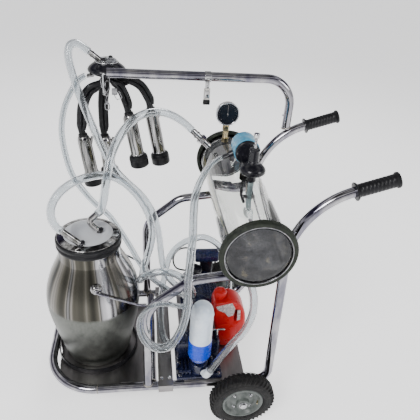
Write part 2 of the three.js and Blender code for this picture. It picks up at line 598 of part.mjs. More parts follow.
const MILK_HOSE = [milkInlet, [-405.9, -62.4, 610], [-417, -61, 640], [-413, -56, 676], [-390, -38, 708],
  [-352, -5, 723], [-317, 45, 711], [-285, 86, 695], [-252, 105, 675], [-212, 112, 638], [-180, 110, 594],
  [-155, 104, 538], [-145, 96, 488], [-152, 82, 440], [-166, 62, 402], [-177, 36, 378], [-180, 6, 370],
  [-186, -26, 386], [-178, -48, 416], [-154, -58, 436], [-128, -62, 446], [-104, -66, 447], [-76, -72, 442],
  [-46, -78, 418], [-26, -72, 376], [-20, -44, 330], [-34, 0, 300], [-62, 48, 292], [-91, 84, 302],
  [-108, 108, 330], [-115, 120, 368], [-119, 128, 412], [-125, 135, 463], [-137, 141, 512], [-158, 147, 561],
  [-186, 151, 600], [-220, 154, 633], [-258, 159, 677], [-288, 170, 733], [-316, 187, 798], [-342, 207, 864],
  [-362, 226, 922], [-374, 241, 971], [-376, 251, 998], [-368, 258, 1016], [-352, 263, 1019],
  [-335.5, 265, 1009], clawOutlet];
put('milk_hose', hose(MILK_HOSE, roundSection(11.5, 8), 38), clear);

const PULSE_HOSE = [[-338, 276, 925], [-352, 268, 919], [-376, 255, 890], [-403, 243, 836], [-416, 232, 771],
  [-412, 220, 706], [-394, 206, 630], [-359, 193, 576], [-328, 181, 542], [-286, 168, 505], [-254, 156, 457],
  [-217, 141, 390], [-187, 118, 338], [-148, 66, 317], [-103, -12, 337], [-60, -96, 384], [-46, -150, 412],
  [-50, -196, 436], [-66, -234, 462], [-88, -254, 485], [-114, -260, 498], [-141, -261, 498],
  [-167, -260, 480], [-183, -259, 447], [-184, -258, 404], [-173, -258, 366], [-152, -258, 338],
  [-126, -257, 327], [-101, -256, 337], [-81, -254, 370], [-67, -252, 418], [-60, -251, 472], [-60, -250, 560],
  [-54, -228, 630], [-47, -190, 666], [-41, -130, 691], [-30, -65, 720], [-2, 2, 742], [22, 48, 750],
  [47.6, 71.3, 757.7], [59.4, 70.1, 763.6]];
put('pulse_hose', hose(PULSE_HOSE, twinSection(6.3), 32), clear);

const EXHAUST_HOSE = [[-78.4, -105, 172], [-91, -104.6, 172], [-108, -88, 174], [-118, -46, 178],
  [-119, 20, 200], [-113, 90, 236], [-101, 128, 286], [-87, 141, 344], [-64, 136, 391], [-36, 124, 424],
  [-7, 110, 446], [23, 105, 456], [55, 100, 445], [81, 95, 422], [101, 87, 383], [117, 74, 324],
  [122, 62, 250], [122, 55, 180], [122, 52, 138]];
put('exhaust_hose', hose(EXHAUST_HOSE, roundSection(11, 8), 14), clear);

const INLET_HOSE = [[TANK.x, PORT_Y, portBottom - 0.4], [TANK.x, PORT_Y, portBottom - 15], [118, PORT_Y, 515],
  [126, -243, 468], [126, -241, 423], [111, -238, 360], [80, -234, 303], [50, -230, 240],
  [31.4, -225.8, 193.4], [24.2, -226.6, 181.4]];
put('inlet_hose', hose(INLET_HOSE, roundSection(11.5, 8), 9), clear);

export default machine;
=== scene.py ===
"""Looks of the trolley milking machine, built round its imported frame. Metres, +Z up."""

import math

import bmesh
import bpy
from mathutils import Matrix, Vector


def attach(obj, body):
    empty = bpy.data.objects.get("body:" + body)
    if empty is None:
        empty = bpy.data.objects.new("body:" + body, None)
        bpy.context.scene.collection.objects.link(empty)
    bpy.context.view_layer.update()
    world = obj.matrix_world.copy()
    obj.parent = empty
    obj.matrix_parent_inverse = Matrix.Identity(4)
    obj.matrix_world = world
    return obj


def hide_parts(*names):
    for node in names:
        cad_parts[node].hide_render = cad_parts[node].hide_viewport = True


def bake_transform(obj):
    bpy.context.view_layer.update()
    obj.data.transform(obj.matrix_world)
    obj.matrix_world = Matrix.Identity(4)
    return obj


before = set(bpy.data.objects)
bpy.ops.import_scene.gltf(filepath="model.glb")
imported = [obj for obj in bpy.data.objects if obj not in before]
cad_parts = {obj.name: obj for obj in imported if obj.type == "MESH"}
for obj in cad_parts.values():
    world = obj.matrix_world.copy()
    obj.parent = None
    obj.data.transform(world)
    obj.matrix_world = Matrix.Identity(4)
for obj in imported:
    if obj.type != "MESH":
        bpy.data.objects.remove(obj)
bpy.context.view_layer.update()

# ---- driving dimensions, in millimetres from the trolley's mid-plane ------------------------
MIDDLE = (14.4, -21.2)
TUBE_R = 13.5
ARM_CORNER_R = 82.0
SOCKET_TOP = 850.0
SPIGOT_R = 10.8
RAIL_Y = 218.0
RAIL_Z = 114.0
FRONT_X = -472.0
FRONT_CORNER_R = 150.0
UPRIGHT_X = 217.0
HANDLE_KNEE = (196.0, 760.0)
HANDLE_END = (446.0, 841.8)
TRAY_Z = 128.3
FLOOR_Z = 74.0
WHEEL = dict(x=124.0, z=103.0, width=52.0, outer=303.0, hub=64.0)
BUCKET = dict(x=-334.0, y=3.0, bottom=76.5)
TANK = dict(x=108.0, z=664.0, r=82.5, wall=5.0, half=259.0)
CLAW = dict(x=-275.0, y=296.0, z=920.0)
ARM_POST_X = 283.0
ARM_Z = 953.0
ARM_END_X = -270.0
MOTOR = dict(x=22.0, z=202.0)
SLOPE = math.atan2(HANDLE_END[1] - HANDLE_KNEE[1], HANDLE_END[0] - HANDLE_KNEE[0])
SIDES = (("near", -1), ("far", 1))
SHARP_ANGLE = math.radians(38)


def at(x, y, z):
    """A point given in millimetres from the mid-plane, in metres in the row frame."""
    return Vector(((x + MIDDLE[0]) / 1000, (y + MIDDLE[1]) / 1000, z / 1000))


def mm(value):
    """Millimetres in metres."""
    return value / 1000


def around(count, start=0.0):
    """Angles spaced evenly round one turn."""
    return [start + 2 * math.pi * k / count for k in range(count)]


def round_y(centre, radius, angle, y=0.0):
    """A point round an axis that runs along y: radius and y, both from the centre, are in mm."""
    return centre + Vector((mm(radius) * math.cos(angle), mm(y), mm(radius) * math.sin(angle)))


# ---- camera ---------------------------------------------------------------------------------
def make_camera():
    yaw, pitch, roll = 0.182, 0.596, 0.089
    forward = Vector((math.sin(yaw) * math.cos(pitch), math.cos(yaw) * math.cos(pitch), -math.sin(pitch)))
    level = Vector((math.cos(yaw), -math.sin(yaw), 0))
    rise = level.cross(forward)
    right = level * math.cos(roll) + rise * math.sin(roll)
    up = rise * math.cos(roll) - level * math.sin(roll)
    data = bpy.data.cameras.new("camera")
    data.lens = 39.46
    data.shift_x = -0.0156
    data.shift_y = 0.0612
    data.clip_end = 100
    camera = bpy.data.objects.new("camera", data)
    turn = Matrix((right, up, -forward)).transposed().to_4x4()
    camera.matrix_world = Matrix.Translation(at(-163.4, -1155.1, 1329.8)) @ turn
    bpy.context.scene.collection.objects.link(camera)
    bpy.context.scene.camera = camera


make_camera()


# ---- mesh helpers ---------------------------------------------------------------------------
class Piece:
    """Collects shapes, each with its material, into one object."""

    def __init__(self, name):
        self.name = name
        self.points = []
        self.faces = []
        self.looks = []
        self.materials = []

    def add(self, shape, material):
        points, faces = shape
        if material not in self.materials:
            self.materials.append(material)
        base = len(self.points)
        self.points += points
        self.faces += [[base + i for i in face] for face in faces]
        self.looks += [self.materials.index(material)] * len(faces)
        return self

    def done(self, body="frame", nodes=(), ride=True):
        """Makes the object, which rides on its body and stands in for its CAD nodes."""
        mesh = bpy.data.meshes.new(self.name)
        mesh.from_pydata([tuple(p) for p in self.points], [], self.faces)
        for material in self.materials:
            mesh.materials.append(material)
        mesh.polygons.foreach_set("material_index", self.looks)
        mesh.polygons.foreach_set("use_smooth", [True] * len(mesh.polygons))
        mesh.update()
        mesh.set_sharp_from_angle(angle=SHARP_ANGLE)
        obj = bpy.data.objects.new(self.name, mesh)
        bpy.context.scene.collection.objects.link(obj)
        if ride:
            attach(obj, body)
        if nodes:
            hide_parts(*nodes)
        return obj


def frames_along(path):
    """A cross direction at each point of a path, carried along without twist."""
    count = len(path)
    tangents = []
    for i in range(count):
        before = path[max(i - 1, 0)]
        after = path[min(i + 1, count - 1)]
        tangents.append((after - before).normalized())
    side = tangents[0].orthogonal().normalized()
    result = []
    for i in range(count):
        if i:
            side = tangents[i - 1].rotation_difference(tangents[i]) @ side
        side = (side - tangents[i] * side.dot(tangents[i])).normalized()
        result.append((side, tangents[i].cross(side)))
    return result


def sweep(path, radius, sides=20, inner=None, offset=(0, 0)):
    """A round tube along a path. radius is in mm, for all points or one each, and inner makes it hollow."""
    radii = radius if isinstance(radius, (list, tuple)) else [radius] * len(path)
    spokes = frames_along(path)
    points, faces = [], []

    def skin(values, flip):
        base = len(points)
        for centre, (u, v), r in zip(path, spokes, values):
            hub = centre + u * mm(offset[0]) + v * mm(offset[1])
            for k in range(sides):
                a = 2 * math.pi * k / sides
                points.append(hub + (u * math.cos(a) + v * math.sin(a)) * mm(r))
        for i in range(len(path) - 1):
            for k in range(sides):
                p = base + i * sides + k
                q = base + i * sides + (k + 1) % sides
                quad = [p, q, q + sides, p + sides]
                faces.append(quad[::-1] if flip else quad)
        return base

    outer = skin(radii, False)
    last = (len(path) - 1) * sides
    if inner is None:
        faces.append([outer + k for k in range(sides)][::-1])
        faces.append([outer + last + k for k in range(sides)])
    else:
        hole = skin([inner] * len(path), True)
        for k in range(sides):
            n = (k + 1) % sides
            faces.append([outer + n, outer + k, hole + k, hole + n])
            faces.append([outer + last + k, outer + last + n, hole + last + n, hole + last + k])
    return points, faces


def turned(profile, centre, along=(0, 0, 1), segments=48):
    """A lathe shape from pairs of radius and height in mm. A solid's profile starts and ends on the axis."""
    axis = Vector(along).normalized()
    turn = Vector((0, 0, 1)).rotation_difference(axis)
    points, faces, rings = [], [], []
    for r, h in profile:
        if r < 1e-6:
            points.append(centre + turn @ Vector((0, 0, mm(h))))
            rings.append([len(points) - 1])
            continue
        ring = []
        for k in range(segments):
            a = 2 * math.pi * k / segments
            points.append(centre + turn @ Vector((mm(r) * math.cos(a), mm(r) * math.sin(a), mm(h))))
            ring.append(len(points) - 1)
        rings.append(ring)
    for low, high in zip(rings, rings[1:]):
        for k in range(segments):
            n = (k + 1) % segments
            corners = [low[k % len(low)], low[n % len(low)], high[n % len(high)], high[k % len(high)]]
            face = list(dict.fromkeys(corners))
            if len(face) > 2:
                faces.append(face)
    return points, faces


def rounded(profile, radius=1.2, steps=3):
    """The same lathe profile with each inside corner rounded."""
    result = [profile[0]]
    for before, corner, after in zip(profile, profile[1:], profile[2:]):
        a = Vector(before) - Vector(corner)
        b = Vector(after) - Vector(corner)
        reach = min(radius, a.length * 0.45, b.length * 0.45)
        if reach < 0.05 or a.angle(b, 0) > 3.0:
            result.append(corner)
            continue
        start = Vector(corner) + a.normalized() * reach
        end = Vector(corner) + b.normalized() * reach
        for k in range(steps + 1):
            t = k / steps
            p = start * (1 - t) ** 2 + Vector(corner) * 2 * t * (1 - t) + end * t * t
            result.append((p.x, p.y))
    result.append(profile[-1])
    return result


def block(low, high, bevel=1.0, segments=2, turn=None, about=None):
    """A box with rounded edges between two corners in mm."""
    bm = bmesh.new()
    bmesh.ops.create_cube(bm, size=1)
    size = [h - l for l, h in zip(low, high)]
    for v in bm.verts:
        v.co = at(*[l + s * (c + 0.5) for l, s, c in zip(low, size, v.co)])
    bmesh.ops.bevel(bm, geom=bm.edges[:], offset=mm(min(bevel, min(size) * 0.45)), segments=segments,
                    affect="EDGES", profile=0.5)
    if turn:
        bmesh.ops.rotate(bm, verts=bm.verts[:], cent=about, matrix=turn)
    return taken(bm)


def taken(bm):
    """A bmesh's points and faces, and the bmesh is freed."""
    bm.verts.index_update()
    points = [v.co.copy() for v in bm.verts]
    faces = [[v.index for v in f.verts] for f in bm.faces]
    bm.free()
    return points, faces


def rod(start, end, radius, sides=20, chamfer=0.8):
    """A round bar with chamfered ends between two points in the row frame."""
    way = (end - start).normalized()
    length = (end - start).length * 1000
    c = min(chamfer, length * 0.3, radius * 0.5)
    profile = [(0, 0), (radius - c, 0), (radius, c), (radius, length - c), (max(radius - c, 0.1), length),
               (0, length)]
    return turned(profile, start, way, sides)


def prism(outline, y0, y1, bevel=3.0, segments=3):
    """An outline in x and z, given in mm, pulled from y0 to y1 with rounded edges."""
    bm = bmesh.new()
    front = [bm.verts.new(at(x, y0, z)) for x, z in outline]
    face = bm.faces.new(front)
    out = bmesh.ops.extrude_face_region(bm, geom=[face])
    moved = [g for g in out["geom"] if isinstance(g, bmesh.types.BMVert)]
    bmesh.ops.translate(bm, verts=moved, vec=Vector((0, mm(y1 - y0), 0)))
    bmesh.ops.recalc_face_normals(bm, faces=bm.faces[:])
    if bevel:
        sharp = [e for e in bm.edges if len(e.link_faces) == 2 and e.calc_face_angle(0) > 0.5]
        bmesh.ops.bevel(bm, geom=sharp, offset=mm(bevel), segments=segments, affect="EDGES", profile=0.5)
    return taken(bm)


def bent(corners, steps=12):
    """Straight runs joined by round bends: corners hold x, y, z and, but for the ends, the bend's radius."""
    spots = [Vector(c[:3]) for c in corners]
    path = [spots[0]]
    for i in range(1, len(spots) - 1):
        back = (spots[i - 1] - spots[i]).normalized()
        ahead = (spots[i + 1] - spots[i]).normalized()
        half = back.angle(ahead) / 2
        radius = corners[i][3]
        setback = radius / math.tan(half)
        centre = spots[i] + (back + ahead).normalized() * (radius / math.sin(half))
        start = spots[i] + back * setback - centre
        end = spots[i] + ahead * setback - centre
        sweep_angle = start.angle(end)
        for k in range(steps + 1):
            a = sweep_angle * k / steps
            path.append(centre + start * (math.sin(sweep_angle - a) / math.sin(sweep_angle))
                        + end * (math.sin(a) / math.sin(sweep_angle)))
    path.append(spots[-1])
    return [at(*p) for p in path]


def smooth_route(points, step=5.0):
    """A centripetal Catmull-Rom curve through given points, evenly stepped."""
    spots = [Vector(p) for p in points]
    spots = [spots[0] * 2 - spots[1]] + spots + [spots[-1] * 2 - spots[-2]]
    dense = []
    for a, b, c, d in zip(spots, spots[1:], spots[2:], spots[3:]):
        t0 = 0.0
        t1 = t0 + (b - a).length ** 0.5
        t2 = t1 + (c - b).length ** 0.5
        t3 = t2 + (d - c).length ** 0.5
        for k in range(24):
            t = t1 + (t2 - t1) * k / 24
            ab = a * ((t1 - t) / (t1 - t0)) + b * ((t - t0) / (t1 - t0))
            bc = b * ((t2 - t) / (t2 - t1)) + c * ((t - t1) / (t2 - t1))
            cd = c * ((t3 - t) / (t3 - t2)) + d * ((t - t2) / (t3 - t2))
            abc = ab * ((t2 - t) / (t2 - t0)) + bc * ((t - t0) / (t2 - t0))
            bcd = bc * ((t3 - t) / (t3 - t1)) + cd * ((t - t1) / (t3 - t1))
            dense.append(abc * ((t2 - t) / (t2 - t1)) + bcd * ((t - t1) / (t2 - t1)))
    dense.append(spots[-2])
    for _ in range(30):
        dense = [dense[0], dense[1]] + [
            (a + b * 2 + c) / 4 for a, b, c in zip(dense[1:], dense[2:-1], dense[3:])
        ] + [dense[-2], dense[-1]]
    total = sum((b - a).length for a, b in zip(dense, dense[1:]))
    count = max(int(total / step), 8)
    path, walked, i = [dense[0]], 0.0, 0
    for k in range(1, count):
        goal = total * k / count
        while walked + (dense[i + 1] - dense[i]).length < goal:
            walked += (dense[i + 1] - dense[i]).length
            i += 1
        piece = dense[i + 1] - dense[i]
        path.append(dense[i] + piece * ((goal - walked) / max(piece.length, 1e-9)))
    path.append(dense[-1])
    return [at(*p) for p in path]


def helix(base, along, radius, wire, pitch, turns):
    """A wire wound round an axis, such as a screw's thread."""
    per_turn = 16
    axis = Vector(along).normalized()
    turn = Vector((0, 0, 1)).rotation_difference(axis)
    path = []
    for k in range(int(turns * per_turn) + 1):
        a = 2 * math.pi * k / per_turn
        path.append(base + turn @ Vector((mm(radius) * math.cos(a), mm(radius) * math.sin(a),
                                          mm(pitch) * k / per_turn)))
    return sweep(path, wire, 8)


# ---- materials ------------------------------------------------------------------------------
BUCKET_SHINE_Z = 0.330   # metres: matt below this height, polished above it


def nodes_of(name):
    material = bpy.data.materials.new(name)
    material.use_nodes = True
    tree = material.node_tree
    shader = tree.nodes["Principled BSDF"]
    return material, tree, shader


def noise(tree, scale, detail=4, rough=0.55, stretch=(1, 1, 1)):
    """Noise in object coordinates, drawn out along an axis where stretch is small."""
    place = tree.nodes.new("ShaderNodeTexCoord")
    mapping = tree.nodes.new("ShaderNodeMapping")
    mapping.inputs["Scale"].default_value = stretch
    texture = tree.nodes.new("ShaderNodeTexNoise")
    texture.inputs["Scale"].default_value = scale
    texture.inputs["Detail"].default_value = detail
    texture.inputs["Roughness"].default_value = rough
    tree.links.new(place.outputs["Object"], mapping.inputs["Vector"])
    tree.links.new(mapping.outputs["Vector"], texture.inputs["Vector"])
    return texture.outputs["Fac"]


def ramp(tree, source, stops):
    """Colours or greys by position: stops is [place, value or colour] pairs."""
    node = tree.nodes.new("ShaderNodeValToRGB")
    band = node.color_ramp
    while len(band.elements) < len(stops):
        band.elements.new(0.5)
    for element, (place, value) in zip(band.elements, stops):
        element.position = place
        element.color = (value, value, value, 1) if isinstance(value, (int, float)) else (*value, 1)
    tree.links.new(source, node.inputs["Fac"])
    return node.outputs["Color"]


def bump(tree, shader, source, strength, distance=0.001):
    node = tree.nodes.new("ShaderNodeBump")
    node.inputs["Strength"].default_value = strength
    node.inputs["Distance"].default_value = distance
    tree.links.new(source, node.inputs["Height"])
    tree.links.new(node.outputs["Normal"], shader.inputs["Normal"])


def metal(name, dark, light, rough, scale=40, stretch=(1, 1, 1), grain=0.04, fine=900):
    """Bare metal with drifting tint, uneven polish and a fine surface grain."""
    material, tree, shader = nodes_of(name)
    shader.inputs["Metallic"].default_value = 1
    patches = noise(tree, scale, 5, 0.6, stretch)
    tree.links.new(ramp(tree, patches, [(0.34, dark), (0.66, light)]), shader.inputs["Base Color"])
    tree.links.new(ramp(tree, noise(tree, scale * 2, 4, 0.6, stretch), [(0.3, rough[0]), (0.75, rough[1])]),
                   shader.inputs["Roughness"])
    bump(tree, shader, noise(tree, fine, 3, 0.6, stretch), grain, 0.0004)
    return material


def plastic(name, dark, light, rough, scale=60, grain=0.05, fine=1500, coat=0.0, shine=0.5):
    """Moulded plastic, paint or rubber with slight colour drift, scuffs and a fine texture."""
    material, tree, shader = nodes_of(name)
    tree.links.new(ramp(tree, noise(tree, scale, 6, 0.65), [(0.32, dark), (0.68, light)]),
                   shader.inputs["Base Color"])
    tree.links.new(ramp(tree, noise(tree, scale * 3, 5, 0.7), [(0.35, rough[0]), (0.7, rough[1])]),
                   shader.inputs["Roughness"])
    shader.inputs["Specular IOR Level"].default_value = shine
    if coat:
        shader.inputs["Coat Weight"].default_value = coat
        shader.inputs["Coat Roughness"].default_value = 0.06
    bump(tree, shader, noise(tree, fine, 2, 0.5), grain, 0.0005)
    return material


def clear(name, tint, rough, ior, haze=0.0, scale=70):
    """See-through plastic with faint flow waves and, in places, a little haze."""
    material, tree, shader = nodes_of(name)
    shader.inputs["Base Color"].default_value = (*tint, 1)
    shader.inputs["IOR"].default_value = ior
    shader.inputs["Transmission Weight"].default_value = 1 - haze
    tree.links.new(ramp(tree, noise(tree, scale, 4, 0.6), [(0.35, rough[0]), (0.75, rough[1])]),
                   shader.inputs["Roughness"])
    bump(tree, shader, noise(tree, 130, 2, 0.5), 0.04, 0.0006)
    return material


TUBE_STEEL = metal("tube_steel", (0.17, 0.165, 0.21), (0.44, 0.43, 0.44), (0.05, 0.12), 22, (1, 1, 0.35))
BRIGHT_STEEL = metal("bright_steel", (0.32, 0.32, 0.34), (0.62, 0.62, 0.62), (0.07, 0.18), 60)
SHELL_STEEL = metal("shell_steel", (0.07, 0.07, 0.062), (0.48, 0.47, 0.47), (0.06, 0.13), 80, (1, 1, 0.05))
TRAY_STEEL = metal("tray_steel", (0.19, 0.18, 0.18), (0.34, 0.325, 0.32), (0.28, 0.5), 18, (1, 0.15, 1),
                   0.12, 500)
WELD = metal("weld", (0.22, 0.20, 0.18), (0.5, 0.46, 0.4), (0.25, 0.5), 150, (1, 1, 1), 0.5, 500)
CHAIN = metal("chain_steel", (0.14, 0.14, 0.15), (0.36, 0.36, 0.37), (0.15, 0.3), 90)
BRASS = metal("brass", (0.42, 0.34, 0.18), (0.70, 0.61, 0.40), (0.14, 0.3), 70)
RUBBER = plastic("black_rubber", (0.004, 0.004, 0.005), (0.013, 0.013, 0.015),
                 (0.28, 0.44), 50, 0.08, 900, shine=0.26)
TYRE = plastic("tyre_rubber", (0.006, 0.006, 0.007), (0.022, 0.021, 0.020),
               (0.5, 0.75), 60, 0.25, 700, shine=0.2)
BLACK = plastic("black_plastic", (0.003, 0.003, 0.005), (0.009, 0.009, 0.014),
                (0.16, 0.3), 40, 0.06, 1200, shine=0.36)
GRIP = plastic("grip_plastic", (0.003, 0.003, 0.004), (0.011, 0.011, 0.013),
               (0.3, 0.46), 60, 0.15, 800, shine=0.24)
RING = plastic("ring_rubber", (0.005, 0.007, 0.005), (0.022, 0.027, 0.018),
               (0.4, 0.6), 80, 0.2, 700, shine=0.22)
WHEEL_PAINT = plastic("wheel_paint", (0.045, 0.055, 0.05), (0.13, 0.145, 0.135), (0.3, 0.48), 45, 0.1, 600)
PUMP_PAINT = plastic("pump_paint", (0.003, 0.004, 0.018), (0.010, 0.015, 0.056), (0.16, 0.36), 55, 0.2, 500)
BLUE = plastic("blue_plastic", (0.045, 0.24, 0.40), (0.10, 0.39, 0.58), (0.16, 0.3), 40, 0.03, 900, 0.4)
DEEP_BLUE = plastic("deep_blue_plastic", (0.001, 0.035, 0.50), (0.003, 0.07, 0.68),
                    (0.2, 0.34), 30, 0.03, 900, shine=0.35)
RED = plastic("red_plastic", (0.44, 0.003, 0.003), (0.56, 0.008, 0.007),
              (0.24, 0.38), 12, 0.015, 400, shine=0.35)
PALE = plastic("pale_plastic", (0.64, 0.70, 0.76), (0.86, 0.91, 0.95), (0.16, 0.34), 30, 0.05, 600, 0.3)
MILKY = plastic("milky_plastic", (0.62, 0.72, 0.84), (0.84, 0.91, 0.98), (0.14, 0.28), 26, 0.03, 500, 0.5)
STRAP = plastic("strap_webbing", (0.34, 0.33, 0.31), (0.62, 0.60, 0.57), (0.4, 0.6), 120, 0.3, 1400)
HOSE = clear("clear_hose", (0.74, 0.77, 0.79), (0.02, 0.08), 1.43, 0.04)
ACRYLIC = clear("clear_acrylic", (0.95, 0.96, 0.94), (0.005, 0.03), 1.45, 0.0, 20)
DOME = clear("clear_bowl", (0.93, 0.96, 0.98), (0.03, 0.08), 1.42, 0.10, 30)
LID_CLEAR = clear("clear_lid", (0.95, 0.96, 0.98), (0.04, 0.10), 1.45, 0.5, 30)
CREAM = plastic("cream_lining", (0.28, 0.26, 0.11), (0.48, 0.45, 0.22), (0.3, 0.5), 30, 0.05, 500)
# Pale see-through sheets on the oil can's near face: painted highlights.
PAINTED_HIGHLIGHT = clear("can_painted_highlight", (0.80, 0.76, 0.74), (0.2, 0.4), 1.2, 0.45, 90)
TEAL = clear("teal_stem", (0.52, 0.64, 0.68), (0.05, 0.12), 1.4, 0.35, 40)


def reflection_bands_round(tree, centre, scale):
    """Noise by the angle round an upright axis, so that it runs in straight lines down a round wall; on the
    bucket it places painted reflections.
    """
    value = tree.nodes.new("ShaderNodeTexCoord").outputs["Object"]
    for operation, operand in (("SUBTRACT", centre), ("MULTIPLY", (1, 1, 0)), ("NORMALIZE", (0, 0, 0))):
        step = tree.nodes.new("ShaderNodeVectorMath")
        step.operation = operation
        step.inputs[1].default_value = operand
        tree.links.new(value, step.inputs[0])
        value = step.outputs["Vector"]
    texture = tree.nodes.new("ShaderNodeTexNoise")
    texture.inputs["Scale"].default_value = scale
    texture.inputs["Detail"].default_value = 1.5
    tree.links.new(value, texture.inputs["Vector"])
    return texture.outputs["Fac"]


def mixed(tree, factor, first, second):
    """One colour or the other, by a factor from 0 to 1."""
    node = tree.nodes.new("ShaderNodeMix")
    node.data_type = "RGBA"
    tree.links.new(factor, node.inputs[0])
    tree.links.new(first, node.inputs[6])
    tree.links.new(second, node.inputs[7])
    return node.outputs[2]


def smoky_plastic():
    """The tank's tinted end: dark see-through plastic with cloudier patches and a few warm ones."""
    material, tree, shader = nodes_of("smoky_end")
    clouds = noise(tree, 26, 6, 0.7)
    tint = ramp(tree, clouds, [(0.36, (0.012, 0.013, 0.016)), (0.47, (0.030, 0.031, 0.036)),
                               (0.58, (0.085, 0.086, 0.092)), (0.66, (0.26, 0.22, 0.14))])
    tree.links.new(tint, shader.inputs["Base Color"])
    shader.inputs["IOR"].default_value = 1.45
    shader.inputs["Transmission Weight"].default_value = 0.7
    shader.inputs["Specular IOR Level"].default_value = 0.3
    tree.links.new(ramp(tree, noise(tree, 40, 4, 0.6), [(0.35, 0.03), (0.75, 0.12)]),
                   shader.inputs["Roughness"])
    bump(tree, shader, noise(tree, 60, 2, 0.5), 0.1, 0.0008)
    return material


def bucket_steel():
    """Mirror-finished above, with painted reflections as dark and light bands down the can; matt grey-green
    and scuffed below.
    """
    material, tree, shader = nodes_of("bucket_steel")
    shader.inputs["Metallic"].default_value = 1
    place = tree.nodes.new("ShaderNodeTexCoord")
    split = tree.nodes.new("ShaderNodeSeparateXYZ")
    tree.links.new(place.outputs["Object"], split.inputs["Vector"])
    lines = noise(tree, 30, 6, 0.7, (0.3, 0.3, 14))
    height = tree.nodes.new("ShaderNodeMath")
    height.operation = "MULTIPLY_ADD"
    height.inputs[1].default_value = 0.012
    tree.links.new(lines, height.inputs[0])
    tree.links.new(split.outputs["Z"], height.inputs[2])
    above = ramp(tree, height.outputs[0], [(BUCKET_SHINE_Z - 0.004, 0.0), (BUCKET_SHINE_Z + 0.006, 1.0)])
    # Painted reflection: the upper part's base colour runs in dark and light bands by the angle round the
    # can.
    painted_reflection_bands = reflection_bands_round(tree, at(BUCKET["x"], BUCKET["y"], 0), 2.7)
    polished_with_painted_reflections = ramp(tree, painted_reflection_bands, [(0.34, (0.016, 0.016, 0.014)), (0.45, (0.09, 0.085, 0.07)),
                                    (0.50, (0.22, 0.205, 0.185)), (0.55, (0.05, 0.05, 0.045)),
                                    (0.66, (0.55, 0.54, 0.56))])
    scuffs = noise(tree, 60, 6, 0.7, (1, 1, 0.6))
    dull = ramp(tree, scuffs, [(0.3, (0.10, 0.105, 0.095)), (0.7, (0.17, 0.175, 0.16))])
    tree.links.new(mixed(tree, above, dull, polished_with_painted_reflections), shader.inputs["Base Color"])
    rough = ramp(tree, scuffs, [(0.3, 0.30), (0.75, 0.46)])
    shine = ramp(tree, painted_reflection_bands, [(0.40, 0.26), (0.60, 0.15)])
    tree.links.new(mixed(tree, above, rough, shine), shader.inputs["Roughness"])
    bump(tree, shader, lines, 0.04, 0.0005)
    return material


BUCKET_STEEL = bucket_steel()
SMOKY = smoky_plastic()


# ---- hoses ----------------------------------------------------------------------------------
def free_hose(name, route, radius, wall, bodies, twin=0.0):
    """A clear hose along its route. bodies is the frame alone, or the two bodies it hangs between."""
    path = smooth_route(route)
    piece = Piece(name)
    if twin:
        for side in (-1, 1):
            piece.add(sweep(path, twin, 14, twin - wall, (0, side * twin)), HOSE)
    else:
        piece.add(sweep(path, radius, 20, radius - wall), HOSE)
    obj = piece.done(nodes=[name], ride=len(bodies) == 1)
    if len(bodies) == 2:
        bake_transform(obj)


NOZZLE_END = (-17, 225, 783)
AIR_ELBOW = (-304, 6, 612)
MILK_INLET = (-396, -62, 600)
CLAW_OUTLET = (-322, 270, 997)
PORT_Y = -243.6
PORT_BOTTOM = TANK["z"] - TANK["r"] - 22

AIR_ROUTE = [NOZZLE_END, (-27.2, 225.5, 792.5), (-48, 217, 813), (-80, 206, 836), (-120, 191, 852),
             (-162, 172, 853), (-198, 147, 841), (-234, 108, 810), (-260, 66, 766), (-274, 32, 706),
             (-284, 14, 652), (-295, 7, 620), AIR_ELBOW]
MILK_ROUTE = [MILK_INLET, (-405.9, -62.4, 610), (-417, -61, 640), (-413, -56, 676), (-390, -38, 708),
              (-352, -5, 723), (-317, 45, 711), (-285, 86, 695), (-252, 105, 675), (-212, 112, 638),
              (-180, 110, 594), (-155, 104, 538), (-145, 96, 488), (-152, 82, 440), (-166, 62, 402),
              (-177, 36, 378), (-180, 6, 370), (-186, -26, 386), (-178, -48, 416), (-154, -58, 436),
              (-128, -62, 446), (-104, -66, 447), (-76, -72, 442), (-46, -78, 418), (-26, -72, 376),
              (-20, -44, 330), (-34, 0, 300), (-62, 48, 292), (-91, 84, 302), (-108, 108, 330),
              (-115, 120, 368), (-119, 128, 412), (-125, 135, 463), (-137, 141, 512), (-158, 147, 561),
              (-186, 151, 600), (-220, 154, 633), (-258, 159, 677), (-288, 170, 733), (-316, 187, 798),
              (-342, 207, 864), (-362, 226, 922), (-374, 241, 971), (-376, 251, 998), (-368, 258, 1016),
              (-352, 263, 1019), (-335.5, 265, 1009), CLAW_OUTLET]
PULSE_ROUTE = [(-338, 276, 925), (-352, 268, 919), (-376, 255, 890), (-403, 243, 836), (-416, 232, 771),
               (-412, 220, 706), (-394, 206, 630), (-359, 193, 576), (-328, 181, 542), (-286, 168, 505),
               (-254, 156, 457), (-217, 141, 390), (-187, 118, 338), (-148, 66, 317), (-103, -12, 337),
               (-60, -96, 384), (-46, -150, 412), (-50, -196, 436), (-66, -234, 462), (-88, -254, 485),
               (-114, -260, 498), (-141, -261, 498), (-167, -260, 480), (-183, -259, 447), (-184, -258, 404),
               (-173, -258, 366), (-152, -258, 338), (-126, -257, 327), (-101, -256, 337), (-81, -254, 370),
               (-67, -252, 418), (-60, -251, 472), (-60, -250, 560), (-54, -228, 630), (-47, -190, 666),
               (-41, -130, 691), (-30, -65, 720), (-2, 2, 742), (22, 48, 750), (47.6, 71.3, 757.7),
               (59.4, 70.1, 763.6)]
EXHAUST_ROUTE = [(-78.4, -105, 172), (-91, -104.6, 172), (-108, -88, 174), (-118, -46, 178), (-119, 20, 200),
                 (-113, 90, 236), (-101, 128, 286), (-87, 141, 344), (-64, 136, 391), (-36, 124, 424),
                 (-7, 110, 446), (23, 105, 456), (55, 100, 445), (81, 95, 422), (101, 87, 383),
                 (117, 74, 324), (122, 62, 250), (122, 55, 180), (122, 52, 138)]
